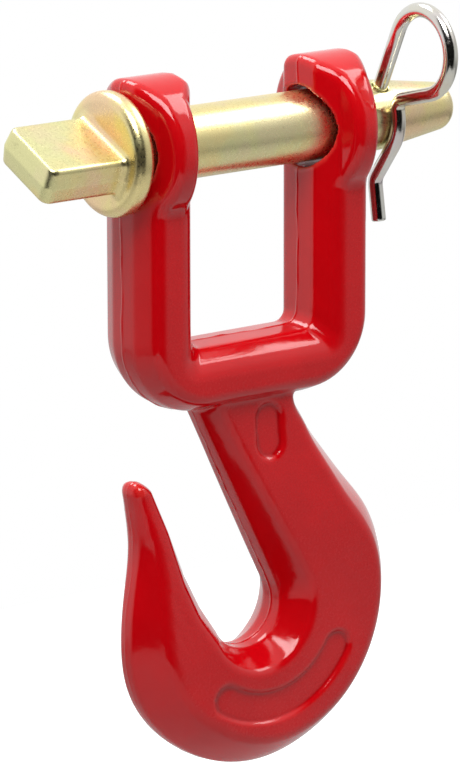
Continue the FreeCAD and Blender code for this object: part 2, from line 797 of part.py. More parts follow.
def make_pin():
    """The drawbar pin, turned about its own axis with its tab handle and cross hole."""
    body = turned_body("drawbar_pin")
    turned = body.newObject("PartDesign::Revolution", "turned_blank")
    turned.Profile = pin_profile(body)
    turned.ReferenceAxis = (turned.Profile[0], ["H_Axis"])
    turned.Angle = 360
    checked(turned)
    tab = body.newObject("PartDesign::Pad", "tab")
    tab.Profile = tab_outline(body)
    tab.SideType = "Two sides"
    bind(
        tab,
        Length=cell("tab_thickness / 2"),
        Length2=cell("tab_thickness / 2"),
        TaperAngle=cell("-tab_draft * 1 deg"),
        TaperAngle2=cell("-tab_draft * 1 deg"),
    )
    checked(tab)
    outside = size("gap_width") / 2 + size("leg_thickness") + size("collar_gap")
    root = -outside - size("collar_thickness")
    end = root - size("tab_length")
    thick = size("tab_thickness") / 2
    half = size("tab_width") / 2

    def at_corner(edge):
        """True for the four upright edges at the tab's free end."""
        point = middle(edge)
        near_end = point.x < (end + root) / 2
        return near_end and abs(point.y) > half / 2 and TOUCH < abs(point.z) < thick - TOUCH

    def at_rim(edge):
        """True for the edges round the tab's two flat faces."""
        point = middle(edge)
        flat = all(abs(abs(edge.valueAt(at).z) - thick) < TOUCH for at in edge.ParameterRange)
        return flat and point.x < root - TOUCH

    def at_root(edge):
        """True for the edges where the tab grows out of the collar."""
        point = middle(edge)
        return abs(point.x - root) < TOUCH and math.hypot(point.y, point.z) < half + TOUCH

    cornered = dress_up(body, "tab_corners", tab, "tab_corner", at_corner)
    rimmed = dress_up(body, "tab_rims", cornered, "tab_edge", at_rim)
    rooted = dress_up(body, "tab_roots", rimmed, "tab_root", at_root)
    hole = body_sketch(body, "clip_hole", "XY_Plane")
    radius = (size("wire_diameter") + size("hole_clearance")) / 2
    ring = hole.addGeometry(
        Part.Circle(Vector(size("clip_station"), 0, 0), Vector(0, 0, 1), radius), False
    )
    constrain(hole, ("PointOnObject", ring, CENTRE, X_AXIS))
    dimension(hole, "station", "clip_station", "DistanceX", *ORIGIN, ring, CENTRE, size("clip_station"))
    formula = "(wire_diameter + hole_clearance) / 2"
    dimension(hole, "hole_radius", formula, "Radius", ring, radius)
    drilled = body.newObject("PartDesign::Pocket", "cross_hole")
    drilled.Profile = solved(hole)
    drilled.SideType = "Symmetric"
    bind(drilled, Length=cell("2 * pin_diameter"))
    checked(drilled)
    if drilled.Shape.Volume > rooted.Shape.Volume - 1:
        raise RuntimeError("nothing drilled")
    return body


# R-clip: one bent spring wire, its straight leg through the pin and its waved leg round it


def clip_path(body):
    """The wire's centreline, seen along the pin: y along the straight leg, away from it to the left."""
    sketch = body_sketch(body, "clip_path", "YZ_Plane")
    bind(sketch, AttachmentOffset__Base__z=cell("clip_station"))
    wire = size("wire_diameter") / 2
    hug = size("pin_diameter") / 2 + size("clip_clearance") + wire
    below, loop = size("leg_below"), size("loop_radius")
    bend, tail_bend = size("waist_bend"), size("tail_bend")

    def ray(angle, length=1.0):
        return Vector(math.cos(math.radians(angle)), math.sin(math.radians(angle)), 0) * length

    def flat(point):
        return (point.x, point.y)

    wrap = size("loop_wrap")
    shoulder_way = ray(wrap - 270)
    top, bottom = 180 - size("hump_top"), 180 + size("hump_bottom")
    touch = ray(top, hug)
    entry_way = ray(top + 90)
    turn = shoulder_way.getAngle(entry_way)
    cut = bend * math.tan(turn / 2)
    waist_out = touch - entry_way * size("entry_length")
    corner = waist_out - entry_way * cut
    waist_in = corner - shoulder_way * cut
    waist_centre = waist_in + ray(wrap - 360, bend)
    leave_x = ray(wrap, loop).x - loop
    leave = corner - shoulder_way * ((corner.x - leave_x) / shoulder_way.x)
    loop_centre = leave - ray(wrap, loop)
    rise = loop_centre.y
    stem_start = ray(bottom, hug)
    stem_way = ray(bottom + 90)
    stem_end = stem_start + stem_way * size("stem_length")
    flare = size("tail_flare")
    tail_centre = stem_end + ray(bottom, tail_bend)
    tail_start = tail_centre + ray(-flare, tail_bend)
    tail_end = tail_start + ray(-90 - flare, size("tail_length"))

    leg = line(sketch, (0, -below), (0, rise))
    eye = arc(sketch, flat(loop_centre), loop, 0, wrap)
    shoulder = line(sketch, flat(leave), flat(waist_in))
    waist = arc(sketch, flat(waist_centre), bend, top - 180, wrap - 180)
    entry = line(sketch, flat(waist_out), flat(touch))
    hump = arc(sketch, (0, 0), hug, top, bottom)
    stem = line(sketch, flat(stem_start), flat(stem_end))
    foot = arc(sketch, flat(tail_centre), tail_bend, -flare, bottom - 180)
    tail = line(sketch, flat(tail_start), flat(tail_end))
    constrain(
        sketch,
        ("PointOnObject", leg, START, Y_AXIS),
        ("Vertical", leg),
        ("Tangent", leg, END, eye, START),
        ("Tangent", eye, END, shoulder, START),
        ("Tangent", shoulder, END, waist, END),
        ("Tangent", waist, START, entry, START),
        ("Tangent", entry, END, hump, START),
        ("Coincident", hump, CENTRE, *ORIGIN),
        ("Tangent", hump, END, stem, START),
        ("Tangent", stem, END, foot, END),
        ("Tangent", foot, START, tail, START),
    )
    radians = math.radians
    rows = (
        ("below", "leg_below", "DistanceY", leg, START, *ORIGIN, below),
        ("loop", "loop_radius", "Radius", eye, loop),
        ("wrap", "(loop_wrap - 270) * 1 deg", "Angle", shoulder, radians(wrap - 270)),
        ("waist", "waist_bend", "Radius", waist, bend),
        ("entry", "(-90 - hump_top) * 1 deg", "Angle", entry, radians(top - 270)),
        ("entry_length", "entry_length", "Distance", entry, size("entry_length")),
        ("hug", "(pin_diameter + wire_diameter) / 2 + clip_clearance", "Radius", hump, hug),
        ("stem", "(hump_bottom - 90) * 1 deg", "Angle", stem, radians(bottom - 270)),
        ("stem_length", "stem_length", "Distance", stem, size("stem_length")),
        ("foot", "tail_bend", "Radius", foot, tail_bend),
        ("flare", "(-90 - tail_flare) * 1 deg", "Angle", tail, radians(-90 - flare)),
        ("tail_length", "tail_length", "Distance", tail, size("tail_length")),
    )
    for row in rows:
        dimension(sketch, *row)
    return solved(sketch)


def make_clip():
    """The R-clip, one round wire swept along its centreline with softened ends."""
    body = turned_body("r_clip")
    path = clip_path(body)
    section = body_sketch(body, "wire_section", "XY_Plane")
    bind(section, AttachmentOffset__Base__z=cell("-leg_below"))
    radius = size("wire_diameter") / 2
    ring = section.addGeometry(
        Part.Circle(Vector(size("clip_station"), 0, 0), Vector(0, 0, 1), radius), False
    )
    constrain(section, ("PointOnObject", ring, CENTRE, X_AXIS))
    dimension(
        section, "station", "clip_station", "DistanceX", *ORIGIN, ring, CENTRE, size("clip_station")
    )
    dimension(section, "wire_radius", "wire_diameter / 2", "Radius", ring, radius)
    wire = body.newObject("PartDesign::AdditivePipe", "bent_wire")
    wire.Profile = solved(section)
    wire.Spine = (path, ["Edge%d" % (number + 1) for number in range(path.GeometryCount)])
    checked(wire)

    def at_end(edge):
        """True for the two round edges at the wire's cut ends."""
        faces = wire.Shape.ancestorsOfType(edge, Part.Face)
        return any(isinstance(face.Surface, Part.Plane) for face in faces)

    dress_up(body, "wire_ends", wire, "wire_end_round", at_end)
    return body


whole = make_clevis_hook()
pin = make_pin()
clip = make_clip()
doc.recompute()

# Every object sound, every sub-part one valid solid
for thing in doc.Objects:
    if "Invalid" in thing.State or "Error" in thing.State:
        raise RuntimeError(thing.Name + ": " + ", ".join(thing.State))
os.makedirs("parts", exist_ok=True)
for node in (whole, pin, clip):
    shape = node.Shape
    if shape.isNull() or not shape.isValid() or len(shape.Solids) != 1:
        raise RuntimeError("unsound sub-part: " + node.Label)
    shape.exportStep("parts/" + node.Label + ".step")
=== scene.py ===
"""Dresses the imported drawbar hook: painted forging, zinc-plated pin and bent-wire clip.

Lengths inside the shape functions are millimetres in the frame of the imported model: X along the
pin towards its clip, Y backwards, Z up, origin on the pin's axis midway between the ears.
"""

import json
import math

import bpy
import numpy as np
from mathutils import Matrix, Vector


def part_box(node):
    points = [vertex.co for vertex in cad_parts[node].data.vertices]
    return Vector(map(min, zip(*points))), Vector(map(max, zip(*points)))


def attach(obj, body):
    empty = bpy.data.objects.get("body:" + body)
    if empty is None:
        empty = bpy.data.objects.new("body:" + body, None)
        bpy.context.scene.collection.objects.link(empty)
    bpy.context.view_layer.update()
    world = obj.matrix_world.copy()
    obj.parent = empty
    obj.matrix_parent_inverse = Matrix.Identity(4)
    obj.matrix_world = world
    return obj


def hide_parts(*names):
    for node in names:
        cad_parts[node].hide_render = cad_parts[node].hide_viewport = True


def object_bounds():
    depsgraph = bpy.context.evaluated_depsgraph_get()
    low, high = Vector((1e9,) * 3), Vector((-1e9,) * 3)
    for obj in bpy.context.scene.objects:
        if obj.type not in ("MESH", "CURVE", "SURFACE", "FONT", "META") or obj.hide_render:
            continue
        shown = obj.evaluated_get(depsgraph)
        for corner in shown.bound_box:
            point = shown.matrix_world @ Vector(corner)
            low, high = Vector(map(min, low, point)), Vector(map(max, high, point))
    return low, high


bl_info = {
    "name": "Drawbar hook",
    "version": (1, 0, 0),
    "blender": (4, 5, 0),
    "location": "View3D > Sidebar > Drawbar hook",
    "description": "Builds the looks of a drawbar hook with its pin and clip around its packed frame",
    "category": "Object",
}

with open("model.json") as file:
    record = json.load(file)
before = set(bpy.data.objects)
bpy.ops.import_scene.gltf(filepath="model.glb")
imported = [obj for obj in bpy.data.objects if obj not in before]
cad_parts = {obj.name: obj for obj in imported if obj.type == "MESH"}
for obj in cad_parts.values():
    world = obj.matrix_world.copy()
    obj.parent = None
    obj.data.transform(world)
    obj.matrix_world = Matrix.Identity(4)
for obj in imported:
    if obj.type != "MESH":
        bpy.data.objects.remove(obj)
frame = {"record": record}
CAD_BOX = [list(corner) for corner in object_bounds()]
MM = 0.001
FINISHES = {row["slot"]: row["base_color"] for row in frame["record"]["materials"]}

# The photograph's size in pixels, and the camera sensor's width
PHOTO_WIDTH, PHOTO_HEIGHT = 460, 764
SENSOR = 36.0

# Pin and clip lean back by this turn about the pin's axis
PIN_TURN = math.radians(25)

# Clevis, seen from the front: outer half width, bottom and corner, then the same of its gap
CLEVIS_HALF, CLEVIS_BOTTOM, OUTER_CORNER = 38.0, -71.2, 21.0
GAP_HALF, GAP_FLOOR, INNER_CORNER = 20.0, -53.2, 3.6
# Clevis, seen from the side: half depth of the legs, ears, and the round between them with the
# level at which it leaves the leg
LEG_DEPTH, EAR_RADIUS, NECK_RADIUS, NECK_LEVEL = 12.0, 19.0, 6.0, -17.35
BORE_RADIUS = 11.0
CLEVIS_EDGE, BORE_EDGE = 2.4, 0.8

# Bevels of the clevis: inset at the face, half width of the land and steepening. The gap's floor
# comes in by this much more than its walls.
OUTER_BEVEL = (3.5, 4.4, 0.05)
GAP_BEVEL = (4.8, 6.4, 0.1)
FLOOR_SHARE = 1.12
LAND_LEAN = 0.07
REST_LEAN = 0.2
# A bevel begins over a width whose square this is
BEVEL_START = 0.16
# The crest along the parting plane is rounded over this width on either side
CREST_ROUND = 0.8

# Slot of the hook: centre and radius of the bowl, and the slot's lean from upright
THROAT_CENTRE = (0.0, -128.0)
THROAT_RADIUS = 11.0
THROAT_LEAN = math.radians(26.5)

# Bevels of the hook: land on the throat side as a share of the half depth, land on the outer side
# with the most that it takes of the half depth, and the steepening of either side
THROAT_LAND, OUTER_LAND, OUTER_LAND_SHARE = 0.3, 2.3, 0.42
THROAT_STEEPENING, OUTER_STEEPENING = 0.1, 0.25
# Its edges: largest radius, the most that it takes of the half depth, and how far a bevel is
# moved out for the radius to end at the inset
HOOK_EDGE, HOOK_EDGE_SHARE, EDGE_INSET = 1.3, 0.25, 0.4
# The hook ends here, inside the floor bar
HOOK_TOP = -60.0

# Flash: width, and how much of its height is left round the hook's trimmed outside
FLASH_WIDTH = 0.30
OUTER_FLASH = 0.4

# Recesses in the front: middle and half run of the upright one, and how much narrower it is
# on either side; centre, radius and ends of the curved one
NECK_RECESS, NECK_RECESS_RUN, NECK_RECESS_LESS = (3.5, -78.7), 3.3, 0.1
BOWL_RECESS, BOWL_RECESS_RADIUS = (2, -128), 26.3
BOWL_RECESS_ENDS = (math.radians(-122), math.radians(-31))

# Sections of the hook, each with its place (a rise up the slot's side, or an angle round the
# bowl), its slope, width, half depth and how far its inner and outer bevels come in at the face
SHANK = (
    (63, 0, 34, 8.6, 4.5, 4.1),
    (57, 2, 31, 8.8, 4.7, 4.1),
    (50, 6, 30.2, 9.3, 4.9, 4.3),
    (40, 13, 29.7, 10.1, 4.9, 4.8),
    (28, 20, 30.7, 11, 5.3, 5.8),
    (14, 25, 33.1, 11.8, 5.8, 7.2),
)
BOWL = (
    (26.5, 36, 12.2, 6.6, 8.4),
    (-10, 35.9, 12.2, 6.0, 8.2),
    (-46, 35.2, 12.2, 5.6, 8.3),
    (-82, 33.7, 12.2, 6.0, 8.9),
    (-118, 31.0, 11.9, 5.7, 9.4),
    (-153.5, 29, 10.9, 5.5, 9.3),
)
POINT = (
    (13, 24.6, 9.4, 5.6, 8.0),
    (25, 17.2, 7.9, 4.6, 6.2),
    (36, 10.1, 6.3, 3.2, 3.3),
    (43, 7.4, 5.1, 2.6, 2.2),
    (47, 6.3, 4.5, 2.2, 2.0),
)
# How far the point's throat side lies outside the slot's straight line, by its rise
POINT_RISES = (0, 9, 20, 34, 51)
POINT_ASIDE = (0, 1.2, 1.3, 0, -0.8)
# The tip's outline past its last section: rise and distance outwards from the slot's side
TIP = ((49.4, 5.5), (50.6, 4.4), (51, 3.15), (50.6, 1.9), (49.4, 0.8), (46, -0.6), (40, -2.5))
# Where the crest starts, from the first section's outer end
CREST_START = (0.3, 12.0)
CREST_SAMPLES, MIDDLE_SAMPLES = 520, 240

# Pin: radius, start and angle of its taper, end and the round there, and its other end, which
# lies in the collar
PIN_RADIUS, TAPER_START, TAPER = 9.5, 46, math.radians(8)
PIN_END, PIN_END_ROUND, PIN_ROOT = 70.5, 3.5, -42
# Collar: radius, middle, half thickness and edge
COLLAR_RADIUS, COLLAR_MIDDLE, COLLAR_HALF, COLLAR_EDGE = 16.5, -41.3, 3, 2.6
# Tab: half width, end, draft, round in the plane, half thickness, edge, and its end in the collar
TAB_HALF, TAB_END, TAB_DRAFT, TAB_CORNER = 11.25, -68.6, math.radians(7), 2.6
TAB_THICK, TAB_EDGE, TAB_ROOT = 5.2, 1.1, -40.5
TAB_CREST_ROUND = 0.35
# Fillets of the tab on the collar and of the collar on the shank
TAB_FILLET, COLLAR_FILLET = 2.6, 0.7
# Cross hole: place, radius and edge
HOLE_PLACE, HOLE_RADIUS, HOLE_EDGE = 45, 2.3, 0.35

# Clip: radii of loop, of the line that rides on the pin, of waist and tail, of the wire and of
# its softened ends
LOOP_RADIUS, SEAT_RADIUS, WAIST_RADIUS, TAIL_RADIUS = 11.2, 11.7, 3.2, 4.5
WIRE_RADIUS, WIRE_END = 2.0, 0.6
# Its angles in degrees: the slope from the loop to the waist, where it meets and leaves the pin,
# and where the tail's bend ends
SLOPE, TOUCH, DROP, FLARE = -40, 144, 192, -34
# Its straight runs: end of the straight leg, and length of waist, stem and tail
LEG_END, WAIST_RUN, STEM_RUN, TAIL_RUN = -14, 0.45, 10.5, 9.6
WIRE_STEP, WIRE_SIDES, CAP_RINGS = 0.45, 28, 4

# Grids: room round a piece, the finer step across the parting plane and the half width it has
ROOM = 2.0
FORGING_FINE = (0.26, 0.9)
PIN_FINE = (0.25, 0.6)
PIN_GRID = ((-70.1, 72.1), (-18.1, 18.3), (-18, 18))


def turned(vectors, angle):
    """Points turned about the X axis: y' = y cos a - z sin a and z' = y sin a + z cos a."""
    x, y, z = vectors.T
    cos, sin = math.cos(angle), math.sin(angle)
    return np.stack([x, y * cos - z * sin, y * sin + z * cos], 1)


def soft_size(value, width):
    """The size of a value without its sign, with the kink at 0 rounded over the given width."""
    size = np.abs(value)
    return np.where(size < width, value * value / (2 * width) + width / 2, size)


def meet(a, b, rounding):
    """What lies inside both of two fields, their edge rounded.

    The round is the distance from the edge of both fields moved inwards by the rounding.
    """
    a, b = a + rounding, b + rounding
    return np.minimum(np.maximum(a, b), 0) + np.hypot(np.maximum(a, 0), np.maximum(b, 0)) - rounding


def join(a, b, width):
    """What lies inside either of two fields, with a hollow fillet of about that width.

    Where the fields differ by less than the width, the lesser one gets a quarter of the squared
    share of it taken off.
    """
    near = np.maximum(width - np.abs(a - b), 0) / width
    return np.minimum(a, b) - near * near * width / 4


def smooth_curve(points, count):
    """A curve through points, as that many samples at even distances.

    Each coordinate is a natural cubic spline over the length of the chords: its second
    derivatives solve one tridiagonal system.
    """
    points = np.asarray(points, float)
    at = np.concatenate([[0], np.cumsum(np.linalg.norm(np.diff(points, axis=0), axis=1))])
    gaps = np.diff(at)
    rows = len(points)
    matrix = np.eye(rows)
    right = np.zeros_like(points)
    inner = np.arange(1, rows - 1)
    matrix[inner, inner - 1] = gaps[:-1]
    matrix[inner, inner] = 2 * (gaps[:-1] + gaps[1:])
    matrix[inner, inner + 1] = gaps[1:]
    slopes = np.diff(points, axis=0) / gaps[:, None]
    right[1:-1] = 6 * np.diff(slopes, axis=0)
    bend = np.linalg.solve(matrix, right)

    def sample(where):
        index = np.clip(np.searchsorted(at, where, side="right") - 1, 0, rows - 2)
        gap = gaps[index][:, None]
        low = (at[index + 1] - where)[:, None]
        high = (where - at[index])[:, None]
        first, last = bend[index], bend[index + 1]
        return (
            first * low**3 / (6 * gap)
            + last * high**3 / (6 * gap)
            + (points[index] / gap - first * gap / 6) * low
            + (points[index + 1] / gap - last * gap / 6) * high
        )

    fine = np.linspace(0, at[-1], 4 * count)
    run = np.concatenate([[0], np.cumsum(np.linalg.norm(np.diff(sample(fine), axis=0), axis=1))])
    even = np.linspace(0, run[-1], count)
    where = np.interp(even, run, fine)
    return sample(where), where, at


def nearest(curve, x, z):
    """For each point of a plane, the nearest sample of a curve: its number, and the offsets to it."""
    shape = np.broadcast(x, z).shape
    flat_x = np.broadcast_to(x, shape).ravel().astype(np.float32)
    flat_z = np.broadcast_to(z, shape).ravel().astype(np.float32)
    cx, cz = curve.astype(np.float32).T
    found = [
        np.argmin((flat_x[at : at + 8192, None] - cx) ** 2 + (flat_z[at : at + 8192, None] - cz) ** 2, 1)
        for at in range(0, flat_x.size, 8192)
    ]
    index = np.concatenate(found).reshape(shape)
    return index, x - curve[index, 0], z - curve[index, 1]


def level_surface(field, axes, relax=3, ease=0.6):
    """The surface where a field of space is zero, as points and quads that face outwards.

    The field is taken on a grid. Each grid cell that the surface crosses gets one point, the mean
    of the crossings on its edges, and each grid edge that it crosses gets a quad through the four
    cells round it. The points then slide to the mean of their neighbours and back onto the
    surface by Newton's steps: minus field times gradient over the gradient's square.
    """
    xs, ys, zs = axes
    values = field(xs[:, None, None], ys[None, :, None], zs[None, None, :])
    inside = values < 0
    cells = tuple(n - 1 for n in values.shape)
    total = np.zeros(cells + (3,))
    count = np.zeros(cells)
    crossings = []
    for axis in range(3):
        low = [slice(None)] * 3
        high = [slice(None)] * 3
        low[axis], high[axis] = slice(0, -1), slice(1, None)
        crossed = np.argwhere(inside[tuple(low)] != inside[tuple(high)])
        after = crossed.copy()
        after[:, axis] += 1
        start, end = values[tuple(crossed.T)], values[tuple(after.T)]
        share = start / (start - end)
        place = np.stack([axes[n][crossed[:, n]] for n in range(3)], 1)
        place[:, axis] += share * (axes[axis][after[:, axis]] - place[:, axis])
        one, two = (axis + 1) % 3, (axis + 2) % 3
        ring = []
        for step_one, step_two in ((-1, -1), (0, -1), (0, 0), (-1, 0)):
            cell = crossed.copy()
            cell[:, one] += step_one
            cell[:, two] += step_two
            ring.append(np.ravel_multi_index(tuple(cell.T), cells))
        ring = np.stack(ring, 1)
        outward = inside[tuple(crossed.T)]
        crossings.append(np.where(outward[:, None], ring, ring[:, ::-1]))
        flat = ring.ravel()
        count += np.bincount(flat, minlength=count.size).reshape(cells)
        for n in range(3):
            weights = np.repeat(place[:, n], 4)
            total[..., n] += np.bincount(flat, weights, count.size).reshape(cells)
    used = np.flatnonzero(count.ravel())
    number = np.full(count.size, -1)
    number[used] = np.arange(used.size)
    points = total.reshape(-1, 3)[used] / count.ravel()[used, None]
    quads = number[np.concatenate(crossings)]
    edges = np.concatenate([quads[:, [0, 1]], quads[:, [1, 2]], quads[:, [2, 3]], quads[:, [3, 0]]])
    for step in range(relax + 1):
        if step < relax:
            points = points + ease * (neighbour_mean(points, edges) - points)
        for _ in range(2 if step < relax else 3):
            points = onto_level(field, points)
    return points, quads, edges


def neighbour_mean(values, edges):
    """For each point, the mean of its neighbours along the edges, each edge given both ways."""
    size = len(values)
    links = np.maximum(np.bincount(edges[:, 0], minlength=size), 1)
    columns = [np.bincount(edges[:, 0], column[edges[:, 1]], size) / links for column in values.T]
    return np.stack(columns, 1)


def onto_level(field, points, reach=0.03, gentlest=0.2, longest=0.4):
    """One Newton step of points towards the field's zero, its gradient from central differences.

    The gradient's square counts as the gentlest at least, and the step is held to the longest.
    """
    x, y, z = points.T
    slopes = np.stack(
        [
            field(x + reach, y, z) - field(x - reach, y, z),
            field(x, y + reach, z) - field(x, y - reach, z),
            field(x, y, z + reach) - field(x, y, z - reach),
        ],
        1,
    ) / (2 * reach)
    steep = np.maximum((slopes**2).sum(1), gentlest)
    step = field(x, y, z) / steep
    return points - np.clip(step, -longest, longest)[:, None] * slopes


def grid_axis(low, high, step, fine=None, fine_half=0.0, growth=1.3):
    """Grid lines from low to high; near 0 they lie closer together where a fine step is given."""
    if fine is None:
        return np.linspace(low, high, int(round((high - low) / step)) + 1)
    steps = np.full(int(fine_half / fine), fine)
    growing = fine * growth ** np.arange(1, 20)
    growing = growing[growing < step]
    inner = np.cumsum(np.concatenate([[fine / 2], steps, growing]))
    left = int(math.ceil((max(-low, high) - inner[-1]) / step))
    half = np.concatenate([inner, inner[-1] + step * np.arange(1, left + 1)])
    return np.concatenate([-half[::-1], half])


def surface_mesh(name, points, quads):
    """A mesh from arrays of points, in millimetres, and quads."""
    mesh = bpy.data.meshes.new(name)
    mesh.vertices.add(len(points))
    mesh.vertices.foreach_set("co", (points * MM).astype(np.float32).ravel())
    mesh.loops.add(quads.size)
    mesh.loops.foreach_set("vertex_index", quads.astype(np.int32).ravel())
    mesh.polygons.add(len(quads))
    mesh.polygons.foreach_set("loop_start", np.arange(0, quads.size, 4, dtype=np.int32))
    mesh.update(calc_edges=True)
    return mesh


def add_piece(name, mesh, body, node):
    """One smooth piece, which rides on a body of the frame and stands for one of its nodes."""
    mesh.polygons.foreach_set("use_smooth", np.ones(len(mesh.polygons), bool))
    mesh.validate()
    piece = bpy.data.objects.new(name, mesh)
    bpy.context.scene.collection.objects.link(piece)
    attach(piece, body)
    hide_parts(node)
    return piece


def ridge_amount(points, quads, edges, rings=4, gain=5):
    """How convex the surface is at each point, from -1 in hollows to 1 on ridges.

    It is how far the point stands out from the mean of its neighbours along its normal, over the
    square of the mesh's own spacing, smoothed over some rings of neighbours, times a gain.
    """
    a, b = points[quads[:, 2]] - points[quads[:, 0]], points[quads[:, 3]] - points[quads[:, 1]]
    facing = np.cross(a, b)
    normals = np.zeros_like(points)
    for corner in range(4):
        for n in range(3):
            normals[:, n] += np.bincount(quads[:, corner], facing[:, n], len(points))
    normals /= np.maximum(np.linalg.norm(normals, axis=1), 1e-9)[:, None]
    spacing = np.linalg.norm(points[edges[:, 0]] - points[edges[:, 1]], axis=1).mean()
    out = ((points - neighbour_mean(points, edges)) * normals).sum(1) / spacing**2
    out = out[:, None]
    for _ in range(rings):
        out = 0.5 * out + 0.5 * neighbour_mean(out, edges)
    return np.clip(out[:, 0] * gain, -1, 1)


# Forging


def hook_curves():
    """The hook's two leading curves in the parting plane: its outer crest and its middle line.

    It also gives the crest's normals, the sizes along the middle line and where the point starts.

    Along the slot's sides a section starts at the bowl's centre plus or minus the throat radius
    across the slot, plus its rise along it; round the bowl it starts a throat radius from the
    centre. Its outer end lies one width away along its slope.
    """
    centre = np.array(THROAT_CENTRE)
    across = np.array([math.cos(THROAT_LEAN), math.sin(THROAT_LEAN)])
    along = np.array([-math.sin(THROAT_LEAN), math.cos(THROAT_LEAN)])
    starts, slopes, rows = [], [], []
    for rise, slope, width, depth, inner, outer in SHANK:
        starts.append(centre + across * THROAT_RADIUS + along * rise)
        slopes.append(math.radians(slope))
        rows.append((width, depth, inner, outer))
    for angle, width, depth, inner, outer in BOWL:
        turn = math.radians(angle)
        starts.append(centre + THROAT_RADIUS * np.array([math.cos(turn), math.sin(turn)]))
        slopes.append(turn)
        rows.append((width, depth, inner, outer))
    for rise, width, depth, inner, outer in POINT:
        starts.append(centre - across * THROAT_RADIUS + along * rise)
        slopes.append(THROAT_LEAN - math.pi)
        rows.append((width, depth, inner, outer))
    starts, slopes, rows = np.array(starts), np.array(slopes), np.array(rows)
    outwards = np.stack([np.cos(slopes), np.sin(slopes)], 1)
    outer = starts + outwards * rows[:, :1]
    root = outer[0] + np.array(CREST_START)
    tip = [centre - across * (THROAT_RADIUS + out) + along * rise for rise, out in TIP]
    crest, _, _ = smooth_curve(np.vstack([root, outer, tip]), CREST_SAMPLES)
    middle, where, at = smooth_curve(starts + outwards * rows[:, :1] / 2, MIDDLE_SAMPLES)
    tangent = np.gradient(crest, axis=0)
    tangent /= np.linalg.norm(tangent, axis=1)[:, None]
    normal = np.stack([-tangent[:, 1], tangent[:, 0]], 1)
    sizes = np.stack([np.interp(where, at, column) for column in rows.T], 1)
    last_bowl = len(SHANK) + len(BOWL) - 1
    point_start = np.argmin(((crest - outer[last_bowl]) ** 2).sum(1))
    return crest, normal, middle, sizes, point_start


def recess_depth(x, z, sizes):
    """How deep the front is sunk at a point: a slot on the neck, and a curved slot round the bowl.

    Each is the distance from a line, upright or round the bowl's centre, less half its width,
    turned into a smooth step over the wall's width.
    """
    half = sizes.recess_width / 2 / MM
    past_run = np.maximum(np.abs(z - NECK_RECESS[1]) - NECK_RECESS_RUN, 0)
    upright = np.hypot(x - NECK_RECESS[0], past_run) - half + NECK_RECESS_LESS
    dx, dz = x - BOWL_RECESS[0], z - BOWL_RECESS[1]
    angle = np.clip(np.arctan2(dz, dx), *BOWL_RECESS_ENDS)
    line_x, line_z = BOWL_RECESS_RADIUS * np.cos(angle), BOWL_RECESS_RADIUS * np.sin(angle)
    round_bowl = np.hypot(dx - line_x, dz - line_z) - half
    distance = np.minimum(upright, round_bowl)
    share = np.clip(0.5 - distance / (sizes.recess_wall / MM), 0, 1)
    return sizes.recess_depth / MM * share * share * (3 - 2 * share)


def bevelled(away, deep, inset, land, steepening):
    """How far a side has come in at a distance from the parting plane, and what scales it to a length.

    Next to the parting plane the side is a land that hardly leans. Past it a bevel begins, which
    has come in by its inset at the face. Its slope starts below the mean by the steepening's share
    of it, and ends as far above. Beyond that depth, as on the ears, the side leans gently.
    """
    past = away - land
    past = 0.5 * (past + np.sqrt(past * past + BEVEL_START))
    run = deep - land
    share = np.minimum(past / run, 1)
    way = inset - LAND_LEAN * land
    depth = LAND_LEAN * np.minimum(away, land) + REST_LEAN * np.maximum(past - run, 0)
    depth = depth + way * share * (1 - steepening + steepening * share)
    slope = way / run * (1 - steepening + 2 * steepening * share)
    slope = np.where(away > land, np.where(share < 1, slope, REST_LEAN), LAND_LEAN)
    return depth, 1 / np.sqrt(1 + slope * slope)


def flash_ridge(x, y, z, height):
    """How far the flash stands out: a ridge that slow waves move aside and make higher or lower."""
    wander = 0.20 * np.sin(0.21 * x + 0.17 * z) + 0.12 * np.sin(0.47 * z - 0.39 * x + 1.3)
    swell = 1 + 0.35 * np.sin(0.33 * z + 0.29 * x + 2.1) + 0.25 * np.sin(0.83 * x - 0.71 * z)
    return height * swell * np.exp(-(((y - wander) / FLASH_WIDTH) ** 2))


def box_side(x, z, half, floor, corner):
    """Distance from a U that is open above, in the parting plane: below zero inside it."""
    over, under = np.abs(x) - (half - corner), (floor + corner) - z
    outside = np.hypot(np.maximum(over, 0), np.maximum(under, 0))
    return outside + np.minimum(np.maximum(over, under), 0) - corner


def keyhole_side(y, z):
    """Distance from the clevis's side view: round ears on straight legs, with a hollow round between."""
    width = np.abs(y)
    centre = LEG_DEPTH + NECK_RADIUS
    head = np.hypot(y, z) - EAR_RADIUS
    neck = NECK_RADIUS - np.hypot(width - centre, z - NECK_LEVEL)
    in_neck = (z * centre < NECK_LEVEL * width) & (z > NECK_LEVEL)
    return np.where(z <= NECK_LEVEL, width - LEG_DEPTH, np.where(in_neck, neck, head))


